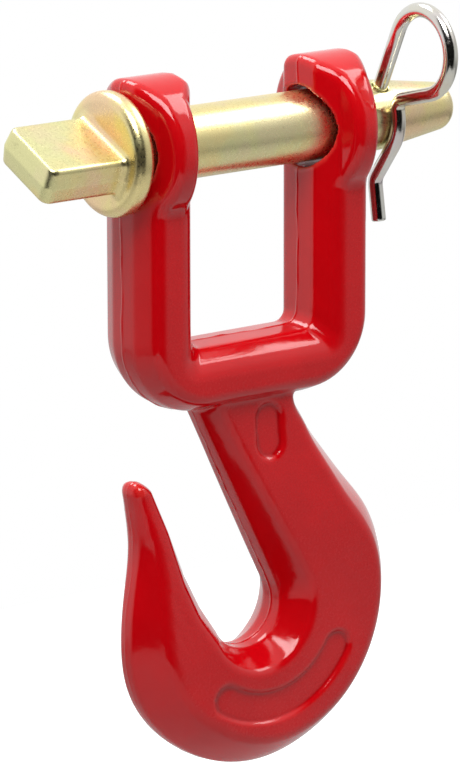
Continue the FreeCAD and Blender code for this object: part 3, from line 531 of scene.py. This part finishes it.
def forging_field(sizes):
    """The forging as a field: below zero inside the metal, and about the distance outside it.

    Clevis: a U with bevelled sides between two rounded frames, meeting a keyhole outline seen from
    the side, with the pin's bores taken out. Hook: what lies outside the slot, inside the outer
    crest and between the front and back faces. Both are joined with a fillet, and a thin ridge of
    flash follows the parting plane.
    """
    crest, normal, middle, rows, point_start = hook_curves()
    sin_lean, cos_lean = math.sin(THROAT_LEAN), math.cos(THROAT_LEAN)
    flash = sizes.flash_height / MM
    junction = sizes.junction_round / MM

    def clevis_field(x, y, z, away, ridge):
        lean, scale = bevelled(away, LEG_DEPTH, *OUTER_BEVEL)
        outer = (box_side(x, z, CLEVIS_HALF, CLEVIS_BOTTOM, OUTER_CORNER) + lean - ridge) * scale
        lean, scale = bevelled(away, LEG_DEPTH, *GAP_BEVEL)
        gap = box_side(x, z, GAP_HALF + lean, GAP_FLOOR - FLOOR_SHARE * lean, INNER_CORNER)
        inner = (-ridge - gap) * scale
        side = keyhole_side(y, z)
        clevis = np.maximum(meet(outer, side, CLEVIS_EDGE), meet(inner, side, CLEVIS_EDGE))
        return meet(clevis, BORE_RADIUS - np.hypot(y, z), BORE_EDGE)

    def hook_field(x, y, z, away, ridge):
        px, pz = x - THROAT_CENTRE[0], z - THROAT_CENTRE[1]
        rise = np.maximum(pz * cos_lean - px * sin_lean, 0)
        on_point = px * cos_lean + pz * sin_lean < 0
        aside = np.where(on_point, np.interp(rise, POINT_RISES, POINT_ASIDE), 0)
        throat = THROAT_RADIUS + aside - np.hypot(px + rise * sin_lean, pz - rise * cos_lean)
        index, dx, dz = nearest(crest, x, z)
        outline = dx * normal[index, 0] + dz * normal[index, 1]
        beyond = ~on_point & (index > point_start)
        outline = np.where(beyond, -THROAT_RADIUS, outline)
        row, dx, dz = nearest(middle, x, z)
        deep, throat_inset, outer_inset = rows[row, 1], rows[row, 2], rows[row, 3]
        edge = np.minimum(HOOK_EDGE, HOOK_EDGE_SHARE * deep)
        face = np.maximum(y - deep, -y - deep + recess_depth(x, z, sizes))
        inset, land = throat_inset - EDGE_INSET * edge, THROAT_LAND * deep
        lean, scale = bevelled(away, deep, inset, land, THROAT_STEEPENING)
        throat_side = meet((throat + lean - ridge) * scale, face, edge)
        inset, land = outer_inset - EDGE_INSET * edge, np.minimum(OUTER_LAND, OUTER_LAND_SHARE * deep)
        lean, scale = bevelled(away, deep, inset, land, OUTER_STEEPENING)
        outer_side = meet((outline + lean - OUTER_FLASH * ridge) * scale, face, edge)
        return np.maximum(np.maximum(throat_side, outer_side), z - HOOK_TOP)

    def field(x, y, z):
        ridge = flash_ridge(x, y, z, flash)
        away = soft_size(y, CREST_ROUND)
        return join(clevis_field(x, y, z, away, ridge), hook_field(x, y, z, away, ridge), junction)

    return field


# Pin


def pin_field():
    """The drawbar pin as a field, in its own upright frame before it is turned.

    A cylinder meets a cone and an end plane; a collar disc and a tab whose sides lean inwards
    from a middle line are joined to it, and the clip's hole is taken out across it.
    """
    tan_taper, cos_taper = math.tan(TAPER), math.cos(TAPER)
    tan_tab, cos_tab = math.tan(TAB_DRAFT), math.cos(TAB_DRAFT)

    def field(x, y, z):
        out = np.hypot(y, z)
        cone = (out - PIN_RADIUS + (x - TAPER_START) * tan_taper) * cos_taper
        shank = meet(np.maximum(out - PIN_RADIUS, cone), x - PIN_END, PIN_END_ROUND)
        shank = np.maximum(shank, PIN_ROOT - x)
        collar = meet(out - COLLAR_RADIUS, np.abs(x - COLLAR_MIDDLE) - COLLAR_HALF, COLLAR_EDGE)
        lean = soft_size(z, TAB_CREST_ROUND) * tan_tab
        sides = (np.abs(y) - TAB_HALF + lean) * cos_tab
        end = (TAB_END - x + lean) * cos_tab
        tab = meet(meet(sides, end, TAB_CORNER), np.abs(z) - TAB_THICK, TAB_EDGE)
        tab = np.maximum(tab, x - TAB_ROOT)
        pin = join(join(collar, tab, TAB_FILLET), shank, COLLAR_FILLET)
        return meet(pin, HOLE_RADIUS - np.hypot(x - HOLE_PLACE, y), HOLE_EDGE)

    return field


# Clip


def arc_points(centre, radius, start, end, step=WIRE_STEP):
    """Points of an arc, in degrees, evenly spaced and without its last one."""
    count = max(int(abs(math.radians(end - start)) * radius / step), 3)
    angle = np.radians(np.linspace(start, end, count + 1))[:-1]
    return np.stack([centre[0] + radius * np.cos(angle), centre[1] + radius * np.sin(angle)], 1)


def run_points(start, end, step=WIRE_STEP):
    """Points of a straight run, evenly spaced and without its last one."""
    start, end = np.asarray(start, float), np.asarray(end, float)
    count = max(int(np.linalg.norm(end - start) / step), 2)
    return start + (end - start) * np.linspace(0, 1, count + 1)[:-1, None]


def ray(angle, length=1.0):
    """A vector of the clip's plane, from its angle in degrees and its length."""
    return length * np.array([math.cos(math.radians(angle)), math.sin(math.radians(angle))])


def clip_line():
    """The wire's middle line, seen along the pin: straight leg, loop, waist, hump and flared tail.

    The loop's centre follows from the rest: its straight leg lies on the pin's axis, and the slope
    leaves it tangentially and meets the run onto the pin in the waist's bend.
    """
    down, leaving = ray(SLOPE), SLOPE + 270
    touch, entry = ray(TOUCH, SEAT_RADIUS), ray(TOUCH + 90)
    cut = WAIST_RADIUS * math.tan(math.radians((leaving - TOUCH) / 2))
    waist_out = touch - entry * WAIST_RUN
    corner = waist_out - entry * cut
    waist_in = corner - down * cut
    waist_centre = waist_in + ray(SLOPE - 90, WAIST_RADIUS)
    leave_x = ray(leaving, LOOP_RADIUS)[0] - LOOP_RADIUS
    leave = corner - down * (corner[0] - leave_x) / down[0]
    loop_centre = leave - ray(leaving, LOOP_RADIUS)
    stem_start = ray(DROP, SEAT_RADIUS)
    stem_end = stem_start + ray(DROP + 90, STEM_RUN)
    tail_centre = stem_end + ray(DROP, TAIL_RADIUS)
    tail_start = tail_centre + ray(FLARE, TAIL_RADIUS)
    tail_end = tail_start + ray(FLARE - 90, TAIL_RUN)
    return np.vstack(
        [
            run_points((0, LEG_END), (0, loop_centre[1])),
            arc_points(loop_centre, LOOP_RADIUS, 0, leaving),
            run_points(leave, waist_in),
            arc_points(waist_centre, WAIST_RADIUS, SLOPE + 90, TOUCH - 180),
            run_points(waist_out, touch),
            arc_points((0, 0), SEAT_RADIUS, TOUCH, DROP),
            run_points(stem_start, stem_end),
            arc_points(tail_centre, TAIL_RADIUS, DROP - 180, FLARE),
            run_points(tail_start, tail_end),
            tail_end[None],
        ]
    )


def wire_surface():
    """The wire as a ring of points carried along its line, with softened ends: points and faces.

    A point is the line's place plus the radius times the cosine of its angle along the line's
    normal and the sine along the pin. At each end the rings shrink over a quarter circle, and the
    last one closes in a single point.
    """
    line = clip_line()
    tangent = np.gradient(line, axis=0)
    tangent /= np.linalg.norm(tangent, axis=1)[:, None]
    quarter = np.linspace(0, math.pi / 2, CAP_RINGS + 1)[1:]
    inset = WIRE_END * (1 - np.sin(quarter))
    narrow = WIRE_RADIUS - WIRE_END + WIRE_END * np.cos(quarter)
    run = np.concatenate([[0], np.cumsum(np.linalg.norm(np.diff(line, axis=0), axis=1))])
    keep = (run > WIRE_END) & (run < run[-1] - WIRE_END)
    body, way = line[keep], tangent[keep]
    first = line[0] + tangent[0] * inset[::-1, None]
    last = line[-1] - tangent[-1] * inset[:, None]
    middle = np.vstack([first, body, last])
    first_way, last_way = np.repeat(tangent[:1], CAP_RINGS, 0), np.repeat(tangent[-1:], CAP_RINGS, 0)
    way = np.vstack([first_way, way, last_way])
    size = np.concatenate([narrow[::-1], np.full(len(body), WIRE_RADIUS), narrow])
    angle = np.linspace(0, 2 * math.pi, WIRE_SIDES, endpoint=False)
    side = np.stack([-way[:, 1], way[:, 0]], 1)
    y = middle[:, None, 0] + size[:, None] * np.cos(angle) * side[:, None, 0]
    z = middle[:, None, 1] + size[:, None] * np.cos(angle) * side[:, None, 1]
    x = HOLE_PLACE + size[:, None] * np.sin(angle)
    poles = np.array([[HOLE_PLACE, *line[0]], [HOLE_PLACE, *line[-1]]])
    points = np.vstack([np.stack([x, y, z], 2).reshape(-1, 3), poles])
    return points, tube_faces(len(middle), WIRE_SIDES)


def tube_faces(rings, sides):
    """Faces of a tube of rings of points, closed at its ends by the two points after its rings."""
    here = np.arange(sides)
    there = (here + 1) % sides
    at = np.arange(rings - 1)[:, None] * sides
    quads = np.stack([at + here, at + there, at + sides + there, at + sides + here], 2)
    top, low, high = (rings - 1) * sides, rings * sides, rings * sides + 1
    start = np.stack([there, here, np.full(sides, low)], 1)
    end = np.stack([top + here, top + there, np.full(sides, high)], 1)
    return quads.reshape(-1, 4).tolist() + start.tolist() + end.tolist()


# Materials


def put(tree, kind, settings=None, sockets=None):
    """Add a node, set its properties, and set or link its inputs."""
    node = tree.nodes.new(kind)
    for name, value in (settings or {}).items():
        setattr(node, name, value)
    for name, value in (sockets or {}).items():
        socket = node.inputs[name]
        if isinstance(value, bpy.types.NodeSocket):
            tree.links.new(value, socket)
        else:
            socket.default_value = value
    return node


def noise(tree, where, scale, detail=3.0, roughness=0.55, lacunarity=2.0):
    """The value of a noise at a place; scale is waves per metre."""
    sockets = {
        "Vector": where,
        "Scale": scale,
        "Detail": detail,
        "Roughness": roughness,
        "Lacunarity": lacunarity,
    }
    return put(tree, "ShaderNodeTexNoise", None, sockets).outputs["Fac"]


def spread(tree, value, low, high, to_low=0.0, to_high=1.0):
    """A value carried from one range to another, smoothly and held at the ends."""
    sockets = {"Value": value, "From Min": low, "From Max": high, "To Min": to_low, "To Max": to_high}
    return put(
        tree, "ShaderNodeMapRange", {"interpolation_type": "SMOOTHSTEP"}, sockets
    ).outputs["Result"]


def math_node(tree, operation, a, b):
    """The result of one operation on two values."""
    node = put(tree, "ShaderNodeMath", {"operation": operation}, {0: a, 1: b})
    return node.outputs[0]


def mixed(tree, share, first, second):
    """Two colours mixed by a share."""
    node = put(tree, "ShaderNodeMix", {"data_type": "RGBA"}, {0: share})
    for index, value in ((6, first), (7, second)):
        if isinstance(value, bpy.types.NodeSocket):
            tree.links.new(value, node.inputs[index])
        else:
            node.inputs[index].default_value = (*value[:3], 1.0)
    return node.outputs[2]


def new_material(name):
    """An empty material with a shader on its output, its tree and the place of its patterns."""
    material = bpy.data.materials.new(name)
    material.use_nodes = True
    tree = material.node_tree
    tree.nodes.clear()
    shader = put(tree, "ShaderNodeBsdfPrincipled")
    out = put(tree, "ShaderNodeOutputMaterial")
    tree.links.new(shader.outputs[0], out.inputs["Surface"])
    where = put(tree, "ShaderNodeTexCoord").outputs["Object"]
    return material, tree, shader, where


def bumped(tree, shader, layers):
    """Bumps stacked on each other: each layer is a height, its distance in metres and its strength."""
    normal = None
    for height, distance, strength in layers:
        sockets = {"Height": height, "Distance": distance, "Strength": strength}
        if normal is not None:
            sockets["Normal"] = normal
        normal = put(tree, "ShaderNodeBump", None, sockets).outputs["Normal"]
    tree.links.new(normal, shader.inputs["Normal"])
    return normal


def red_paint(colour):
    """Thick red enamel over a shot-blasted forging, with painted highlights on its ridges and painted shade
    in its hollows.
    """
    material, tree, shader, where = new_material("red_enamel")
    ridge = put(tree, "ShaderNodeAttribute", {"attribute_name": "ridge"}).outputs["Fac"]
    facing = put(tree, "ShaderNodeTexCoord").outputs["Normal"]
    parts = put(tree, "ShaderNodeSeparateXYZ", None, {0: facing})
    flat = spread(tree, math_node(tree, "ABSOLUTE", parts.outputs["Y"], 0), 0.90, 0.99)
    blotch = noise(tree, where, 34, 3, 0.55)
    swell = noise(tree, where, 75, 2, 0.5)
    wave = noise(tree, where, 190, 2, 0.5)
    grain = noise(tree, where, 900, 3, 0.6)
    deep = tuple(channel * 0.92 for channel in colour)
    light = tuple(channel * 1.05 for channel in colour)
    base = mixed(tree, spread(tree, blotch, 0.35, 0.7), deep, light)
    # Painted highlight: convex ridges and edges are lightened towards a brighter orange red.
    ridge_highlight = spread(tree, ridge, 0.35, 0.95)
    base = mixed(tree, math_node(tree, "MULTIPLY", ridge_highlight, 0.35), base, (0.74, 0.05, 0.04))
    # Painted shade: hollows and creases are darkened towards a deep maroon.
    hollow_shade = spread(tree, ridge, -0.15, -0.7)
    base = mixed(tree, math_node(tree, "MULTIPLY", hollow_shade, 0.5), base, (0.26, 0.0, 0.002))
    tree.links.new(base, shader.inputs["Base Color"])
    rough = spread(tree, grain, 0.3, 0.75, 0.08, 0.14)
    rough = math_node(tree, "ADD", rough, math_node(tree, "MULTIPLY", flat, 0.16))
    tree.links.new(rough, shader.inputs["Roughness"])
    gritty = math_node(tree, "MULTIPLY", grain, math_node(tree, "ADD", flat, 0.25))
    bumped(tree, shader, [(swell, 0.0002, 0.5), (wave, 0.00008, 0.5), (gritty, 0.00002, 0.6)])
    return material


def zinc(name, colour, pink, green, rough, patch):
    """Zinc plating: metal whose tint drifts between three colours, dulled in patches."""
    material, tree, shader, where = new_material(name)
    shader.inputs["Metallic"].default_value = 1.0
    drift = noise(tree, where, patch, 3, 0.6)
    other = noise(tree, where, patch * 0.6, 2, 0.5, 2.6)
    grain = noise(tree, where, 1400, 3, 0.6)
    tint = mixed(tree, spread(tree, drift, 0.46, 0.64, 0.0, 0.55), colour, pink)
    tint = mixed(tree, spread(tree, other, 0.44, 0.60, 0.0, 0.45), tint, green)
    worn = noise(tree, where, 160, 6, 0.75)
    dull = spread(tree, worn, 0.60, 0.72)
    tint = mixed(tree, math_node(tree, "MULTIPLY", dull, 0.45), tint, (0.22, 0.19, 0.12))
    tree.links.new(tint, shader.inputs["Base Color"])
    value = spread(tree, grain, 0.25, 0.75, rough * 0.8, rough * 1.25)
    value = math_node(tree, "ADD", value, math_node(tree, "MULTIPLY", dull, 0.15))
    tree.links.new(value, shader.inputs["Roughness"])
    bumped(tree, shader, [(worn, 0.00005, 0.5), (grain, 0.000012, 0.6)])
    return material


def dress(piece, material):
    """Give a piece its one material."""
    piece.data.materials.clear()
    piece.data.materials.append(material)


# Stage


# Soft lights: name, azimuth, elevation, distance, size and power
LIGHTS = (
    ("key_light", -45, 58, 1.0, (0.56, 0.5), 8.6),
    ("top_light", 187, 60, 0.9, (0.42, 0.32), 3.4),
    ("side_light", 76, 49, 1.2, (0.6, 0.5), 5.0),
)
# Azimuth and elevation of the studio's dark end, which lies behind the camera
DARK_END = (-37.5, 13.9)
# Half the floor's side in metres, and its glow to the camera
FLOOR_HALF, FLOOR_GLOW = 0.6, 0.8


def look_from(centre, azimuth, elevation, distance):
    """A point on a sphere round a centre, in degrees; azimuth 0 is on the side of -Y."""
    a, e = math.radians(azimuth), math.radians(elevation)
    way = Vector((math.sin(a) * math.cos(e), -math.cos(a) * math.cos(e), math.sin(e)))
    return centre + way * distance


def soft_box(name, centre, azimuth, elevation, distance, size, power):
    """A rectangular soft light that faces the object."""
    light = bpy.data.lights.new(name, "AREA")
    light.shape = "RECTANGLE"
    light.size, light.size_y = size
    light.energy = power
    holder = bpy.data.objects.new(name, light)
    holder.location = look_from(centre, azimuth, elevation, distance)
    holder.rotation_mode = "QUATERNION"
    holder.rotation_quaternion = (centre - holder.location).to_track_quat("-Z", "Y")
    bpy.context.scene.collection.objects.link(holder)
    return holder


def make_world(level, sides, dark_way):
    """A white studio: pure white to the camera, and the given level where it lights surfaces.

    In polished faces it is white above and behind the object and has the sides' level elsewhere.
    Both levels are lower below the object, and polished faces see it fade to black round one
    direction, where the dark end of the studio lies.
    """
    world = bpy.data.worlds.new("white_studio")
    bpy.context.scene.world = world
    world.use_nodes = True
    tree = world.node_tree
    tree.nodes.clear()
    way = put(tree, "ShaderNodeTexCoord").outputs["Generated"]
    parts = put(tree, "ShaderNodeSeparateXYZ", None, {0: way}).outputs
    behind, above = spread(tree, parts["Y"], 0.1, 0.5), spread(tree, parts["Z"], 0.2, 0.55)
    lit = math_node(tree, "MAXIMUM", behind, above)
    towards = put(tree, "ShaderNodeVectorMath", {"operation": "DOT_PRODUCT"}, {0: way, 1: dark_way})
    dark = spread(tree, towards.outputs["Value"], 0.38, 0.62, 1.0, 0.0)
    low = spread(tree, parts["Z"], -0.45, 0.0, 0.45, 1.0)
    mirrored = math_node(tree, "MULTIPLY", low, sides)
    mirrored = math_node(tree, "ADD", math_node(tree, "MULTIPLY", lit, 1.0 - sides), mirrored)
    mirrored = math_node(tree, "MULTIPLY", mirrored, dark)
    path = put(tree, "ShaderNodeLightPath").outputs
    through = math_node(tree, "MAXIMUM", path["Is Glossy Ray"], path["Is Transmission Ray"])
    mirrored = math_node(tree, "MULTIPLY", through, mirrored)
    plain = math_node(tree, "MULTIPLY", math_node(tree, "SUBTRACT", 1.0, through), level)
    plain = math_node(tree, "MULTIPLY", plain, spread(tree, parts["Z"], -0.5, 0.1, 0.6, 1.0))
    strength = math_node(tree, "MAXIMUM", path["Is Camera Ray"], math_node(tree, "ADD", mirrored, plain))
    back = put(tree, "ShaderNodeBackground", None, {"Color": (1, 1, 1, 1), "Strength": strength})
    out = put(tree, "ShaderNodeOutputWorld")
    tree.links.new(back.outputs[0], out.inputs["Surface"])


def make_floor(height, half, fill):
    """A pale floor below the object: it takes a shadow, and glows to the camera only, to white."""
    mesh = bpy.data.meshes.new("studio_floor")
    corners = np.array([(-1, -1, 0), (1, -1, 0), (1, 1, 0), (-1, 1, 0)], float) * half
    corners[:, 2] = height
    mesh.from_pydata(corners.tolist(), [], [(0, 1, 2, 3)])
    floor = bpy.data.objects.new("studio_floor", mesh)
    bpy.context.scene.collection.objects.link(floor)
    material, tree, shader, _ = new_material("floor_paint")
    shader.inputs["Base Color"].default_value = (0.5, 0.5, 0.5, 1)
    shader.inputs["Roughness"].default_value = 0.9
    shader.inputs["Specular IOR Level"].default_value = 0.1
    shader.inputs["Emission Color"].default_value = (1, 1, 1, 1)
    to_camera = put(tree, "ShaderNodeLightPath").outputs["Is Camera Ray"]
    strength = spread(tree, to_camera, 0, 1, 0.0, fill)
    tree.links.new(strength, shader.inputs["Emission Strength"])
    dress(floor, material)
    return floor


def make_camera(sizes):
    """The photograph's camera: it looks along the azimuth and down, from the fitted distance.

    The photograph's own size gives the lens: focal length in pixels over its long side, times the
    sensor's width.
    """
    a, e, roll = sizes.azimuth, sizes.elevation, sizes.roll
    way = Vector((math.cos(e) * math.sin(a), math.cos(e) * math.cos(a), -math.sin(e)))
    right = Vector((math.cos(a), -math.sin(a), 0))
    up = right.cross(way)
    right, up = (
        right * math.cos(roll) - up * math.sin(roll),
        right * math.sin(roll) + up * math.cos(roll),
    )
    distance = sizes.distance
    focal = sizes.pixels_per_metre * distance
    aside = (sizes.origin_x - PHOTO_WIDTH / 2) * distance / focal
    above = (PHOTO_HEIGHT / 2 - sizes.origin_y) * distance / focal
    place = -(right * aside + up * above + way * distance)
    camera = bpy.data.cameras.new("photo_camera")
    camera.sensor_width = SENSOR
    camera.lens = focal / PHOTO_HEIGHT * SENSOR
    camera.clip_start, camera.clip_end = 0.05, 50
    holder = bpy.data.objects.new("photo_camera", camera)
    turn = Matrix((right, up, -way)).transposed().to_4x4()
    holder.matrix_world = Matrix.Translation(place) @ turn
    bpy.context.scene.collection.objects.link(holder)
    bpy.context.scene.camera = holder
    return holder


def length_prop(name, description, default, low=0.0, high=1.0):
    """A length in metres."""
    return bpy.props.FloatProperty(
        name=name, description=description, default=default, min=low, max=high,
        subtype="DISTANCE", unit="LENGTH", precision=5,
    )


def colour_prop(name, description, default):
    """A colour without alpha."""
    return bpy.props.FloatVectorProperty(
        name=name, description=description, default=tuple(default), min=0, max=1, size=3, subtype="COLOR",
    )


def angle_prop(name, description, degrees):
    """An angle, given in degrees."""
    return bpy.props.FloatProperty(
        name=name, description=description, default=math.radians(degrees), subtype="ANGLE", unit="ROTATION",
    )


class ForgingSettings(bpy.types.PropertyGroup):
    """Sizes and colour of the painted forging."""

    mesh_step: length_prop("Mesh step", "Distance between the surface's points", 0.00074, 0.0003)
    flash_height: length_prop("Flash height", "How far the flash stands out along the parting line", 0.00022)
    junction_round: length_prop("Junction round", "Width of the fillet between floor bar and hook", 0.0018)
    recess_width: length_prop("Recess width", "Width of both recesses in the front", 0.0086)
    recess_depth: length_prop("Recess depth", "Depth of both recesses in the front", 0.0011)
    recess_wall: length_prop("Recess wall", "Width over which a recess's wall falls", 0.0014)
    paint: colour_prop("Paint", "Colour of the enamel", (0.54, 0.001, 0.004))


class PinSettings(bpy.types.PropertyGroup):
    """Size and colours of the drawbar pin."""

    mesh_step: length_prop("Mesh step", "Distance between the surface's points", 0.00058, 0.0003)
    plating: colour_prop("Plating", "Main tint of the yellow zinc", (0.84, 0.71, 0.34))
    pink: colour_prop("Pink tint", "Tint of its pink patches", (0.88, 0.56, 0.42))
    green: colour_prop("Green tint", "Tint of its green patches", (0.66, 0.76, 0.42))


class ClipSettings(bpy.types.PropertyGroup):
    """Colours of the wire clip."""

    plating: colour_prop("Plating", "Main tint of the bright zinc", FINISHES["bright_zinc"])
    pink: colour_prop("Violet tint", "Tint of its violet patches", (0.66, 0.58, 0.62))
    green: colour_prop("Yellow tint", "Tint of its yellow patches", (0.74, 0.70, 0.50))


class StageSettings(bpy.types.PropertyGroup):
    """Light, floor and camera."""

    world_level: bpy.props.FloatProperty(
        name="Room light", description="How strongly the white room lights the object", default=0.45, min=0,
    )
    side_level: bpy.props.FloatProperty(
        name="Sides", description="How bright the studio's sides are in polished faces", default=0.6, min=0,
    )
    floor_drop: length_prop("Floor drop", "Gap between the hook's lowest point and the floor", 0.16)
    azimuth: angle_prop("Azimuth", "Direction in which the camera looks, from +Y towards +X", 37.5)
    elevation: angle_prop("Elevation", "How far down the camera looks", 13.9)
    roll: angle_prop("Roll", "Turn of the picture", 0.1)
    distance: length_prop("Distance", "From the camera to the object's origin", 1.3, 0.1, 10)
    pixels_per_metre: bpy.props.FloatProperty(
        name="Scale", description="Photograph's pixels for a metre at the origin", default=3813, min=1,
    )
    origin_x: bpy.props.FloatProperty(
        name="Origin across", description="Pixel column of the object's origin", default=237.55,
    )
    origin_y: bpy.props.FloatProperty(
        name="Origin down", description="Pixel row of the object's origin", default=135.05,
    )


class DRAWBAR_OT_stage(bpy.types.Operator):
    """Set up the camera, the room, the floor and the soft lights"""

    bl_idname = "drawbar.stage"
    bl_label = "Stage"

    def execute(self, context):
        sizes = context.scene.drawbar_stage
        low, high = (Vector(corner) for corner in CAD_BOX)
        centre = (low + high) / 2
        make_camera(sizes)
        make_world(sizes.world_level, sizes.side_level, look_from(Vector(), *DARK_END, 1.0))
        make_floor(low.z - sizes.floor_drop, FLOOR_HALF, FLOOR_GLOW)
        for name, *place in LIGHTS:
            soft_box(name, centre, *place)
        view = context.scene.view_settings
        view.view_transform = "Standard"
        return {"FINISHED"}


class DRAWBAR_OT_forging(bpy.types.Operator):
    """Build the painted forging: clevis and hook in one piece"""

    bl_idname = "drawbar.forging"
    bl_label = "Forging"

    def execute(self, context):
        sizes = context.scene.drawbar_forging
        low, high = (np.array(corner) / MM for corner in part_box("clevis_hook"))
        step = sizes.mesh_step / MM
        low, high = low - ROOM, high + ROOM
        axes = (
            grid_axis(low[0], high[0], step),
            grid_axis(low[1], high[1], step, *FORGING_FINE),
            grid_axis(low[2], high[2], step),
        )
        points, quads, edges = level_surface(forging_field(sizes), axes)
        mesh = surface_mesh("painted_forging", points, quads)
        layer = mesh.attributes.new("ridge", "FLOAT", "POINT")
        layer.data.foreach_set("value", ridge_amount(points, quads, edges).astype(np.float32))
        piece = add_piece("painted_forging", mesh, "clevis", "clevis_hook")
        dress(piece, red_paint(sizes.paint))
        return {"FINISHED"}


class DRAWBAR_OT_pin(bpy.types.Operator):
    """Build the plated drawbar pin with its collar and tab"""

    bl_idname = "drawbar.pin"
    bl_label = "Drawbar pin"

    def execute(self, context):
        sizes = context.scene.drawbar_pin
        step = sizes.mesh_step / MM
        along, across, up = PIN_GRID
        axes = grid_axis(*along, step), grid_axis(*across, step), grid_axis(*up, step, *PIN_FINE)
        points, quads, _ = level_surface(pin_field(), axes)
        mesh = surface_mesh("plated_pin", turned(points, PIN_TURN), quads)
        piece = add_piece("plated_pin", mesh, "pin", "drawbar_pin")
        dress(piece, zinc("yellow_zinc_plating", sizes.plating, sizes.pink, sizes.green, 0.30, 62))
        return {"FINISHED"}


class DRAWBAR_OT_clip(bpy.types.Operator):
    """Build the bent-wire clip"""

    bl_idname = "drawbar.clip"
    bl_label = "Wire clip"

    def execute(self, context):
        sizes = context.scene.drawbar_clip
        points, faces = wire_surface()
        mesh = bpy.data.meshes.new("wire_clip")
        mesh.from_pydata((turned(points, PIN_TURN) * MM).tolist(), [], faces)
        piece = add_piece("wire_clip", mesh, "clip", "r_clip")
        dress(piece, zinc("bright_zinc_plating", sizes.plating, sizes.pink, sizes.green, 0.16, 90))
        return {"FINISHED"}


class DRAWBAR_PT_panel(bpy.types.Panel):
    """Lists the pieces and their settings in the sidebar."""

    bl_idname = "DRAWBAR_PT_panel"
    bl_label = "Drawbar hook"
    bl_space_type = "VIEW_3D"
    bl_region_type = "UI"
    bl_category = "Drawbar hook"

    def draw(self, context):
        for operator, holder in STEPS:
            settings = getattr(context.scene, holder)
            box = self.layout.box()
            box.operator(operator)
            for name in type(settings).__annotations__:
                box.prop(settings, name)


SETTINGS = {
    "drawbar_stage": StageSettings,
    "drawbar_forging": ForgingSettings,
    "drawbar_pin": PinSettings,
    "drawbar_clip": ClipSettings,
}
STEPS = (
    ("drawbar.stage", "drawbar_stage"),
    ("drawbar.forging", "drawbar_forging"),
    ("drawbar.pin", "drawbar_pin"),
    ("drawbar.clip", "drawbar_clip"),
)
CLASSES = (
    *SETTINGS.values(),
    DRAWBAR_OT_stage,
    DRAWBAR_OT_forging,
    DRAWBAR_OT_pin,
    DRAWBAR_OT_clip,
    DRAWBAR_PT_panel,
)


def register():
    """Register the classes and give the scene its settings."""
    for kind in CLASSES:
        bpy.utils.register_class(kind)
    for holder, kind in SETTINGS.items():
        setattr(bpy.types.Scene, holder, bpy.props.PointerProperty(type=kind))


def unregister():
    """Take the settings and the classes away again."""
    for holder in SETTINGS:
        delattr(bpy.types.Scene, holder)
    for kind in reversed(CLASSES):
        bpy.utils.unregister_class(kind)


def main():
    """Build the whole scene."""
    register()
    bpy.ops.drawbar.stage()
    bpy.ops.drawbar.forging()
    bpy.ops.drawbar.pin()
    bpy.ops.drawbar.clip()


if __name__ == "__main__":
    main()
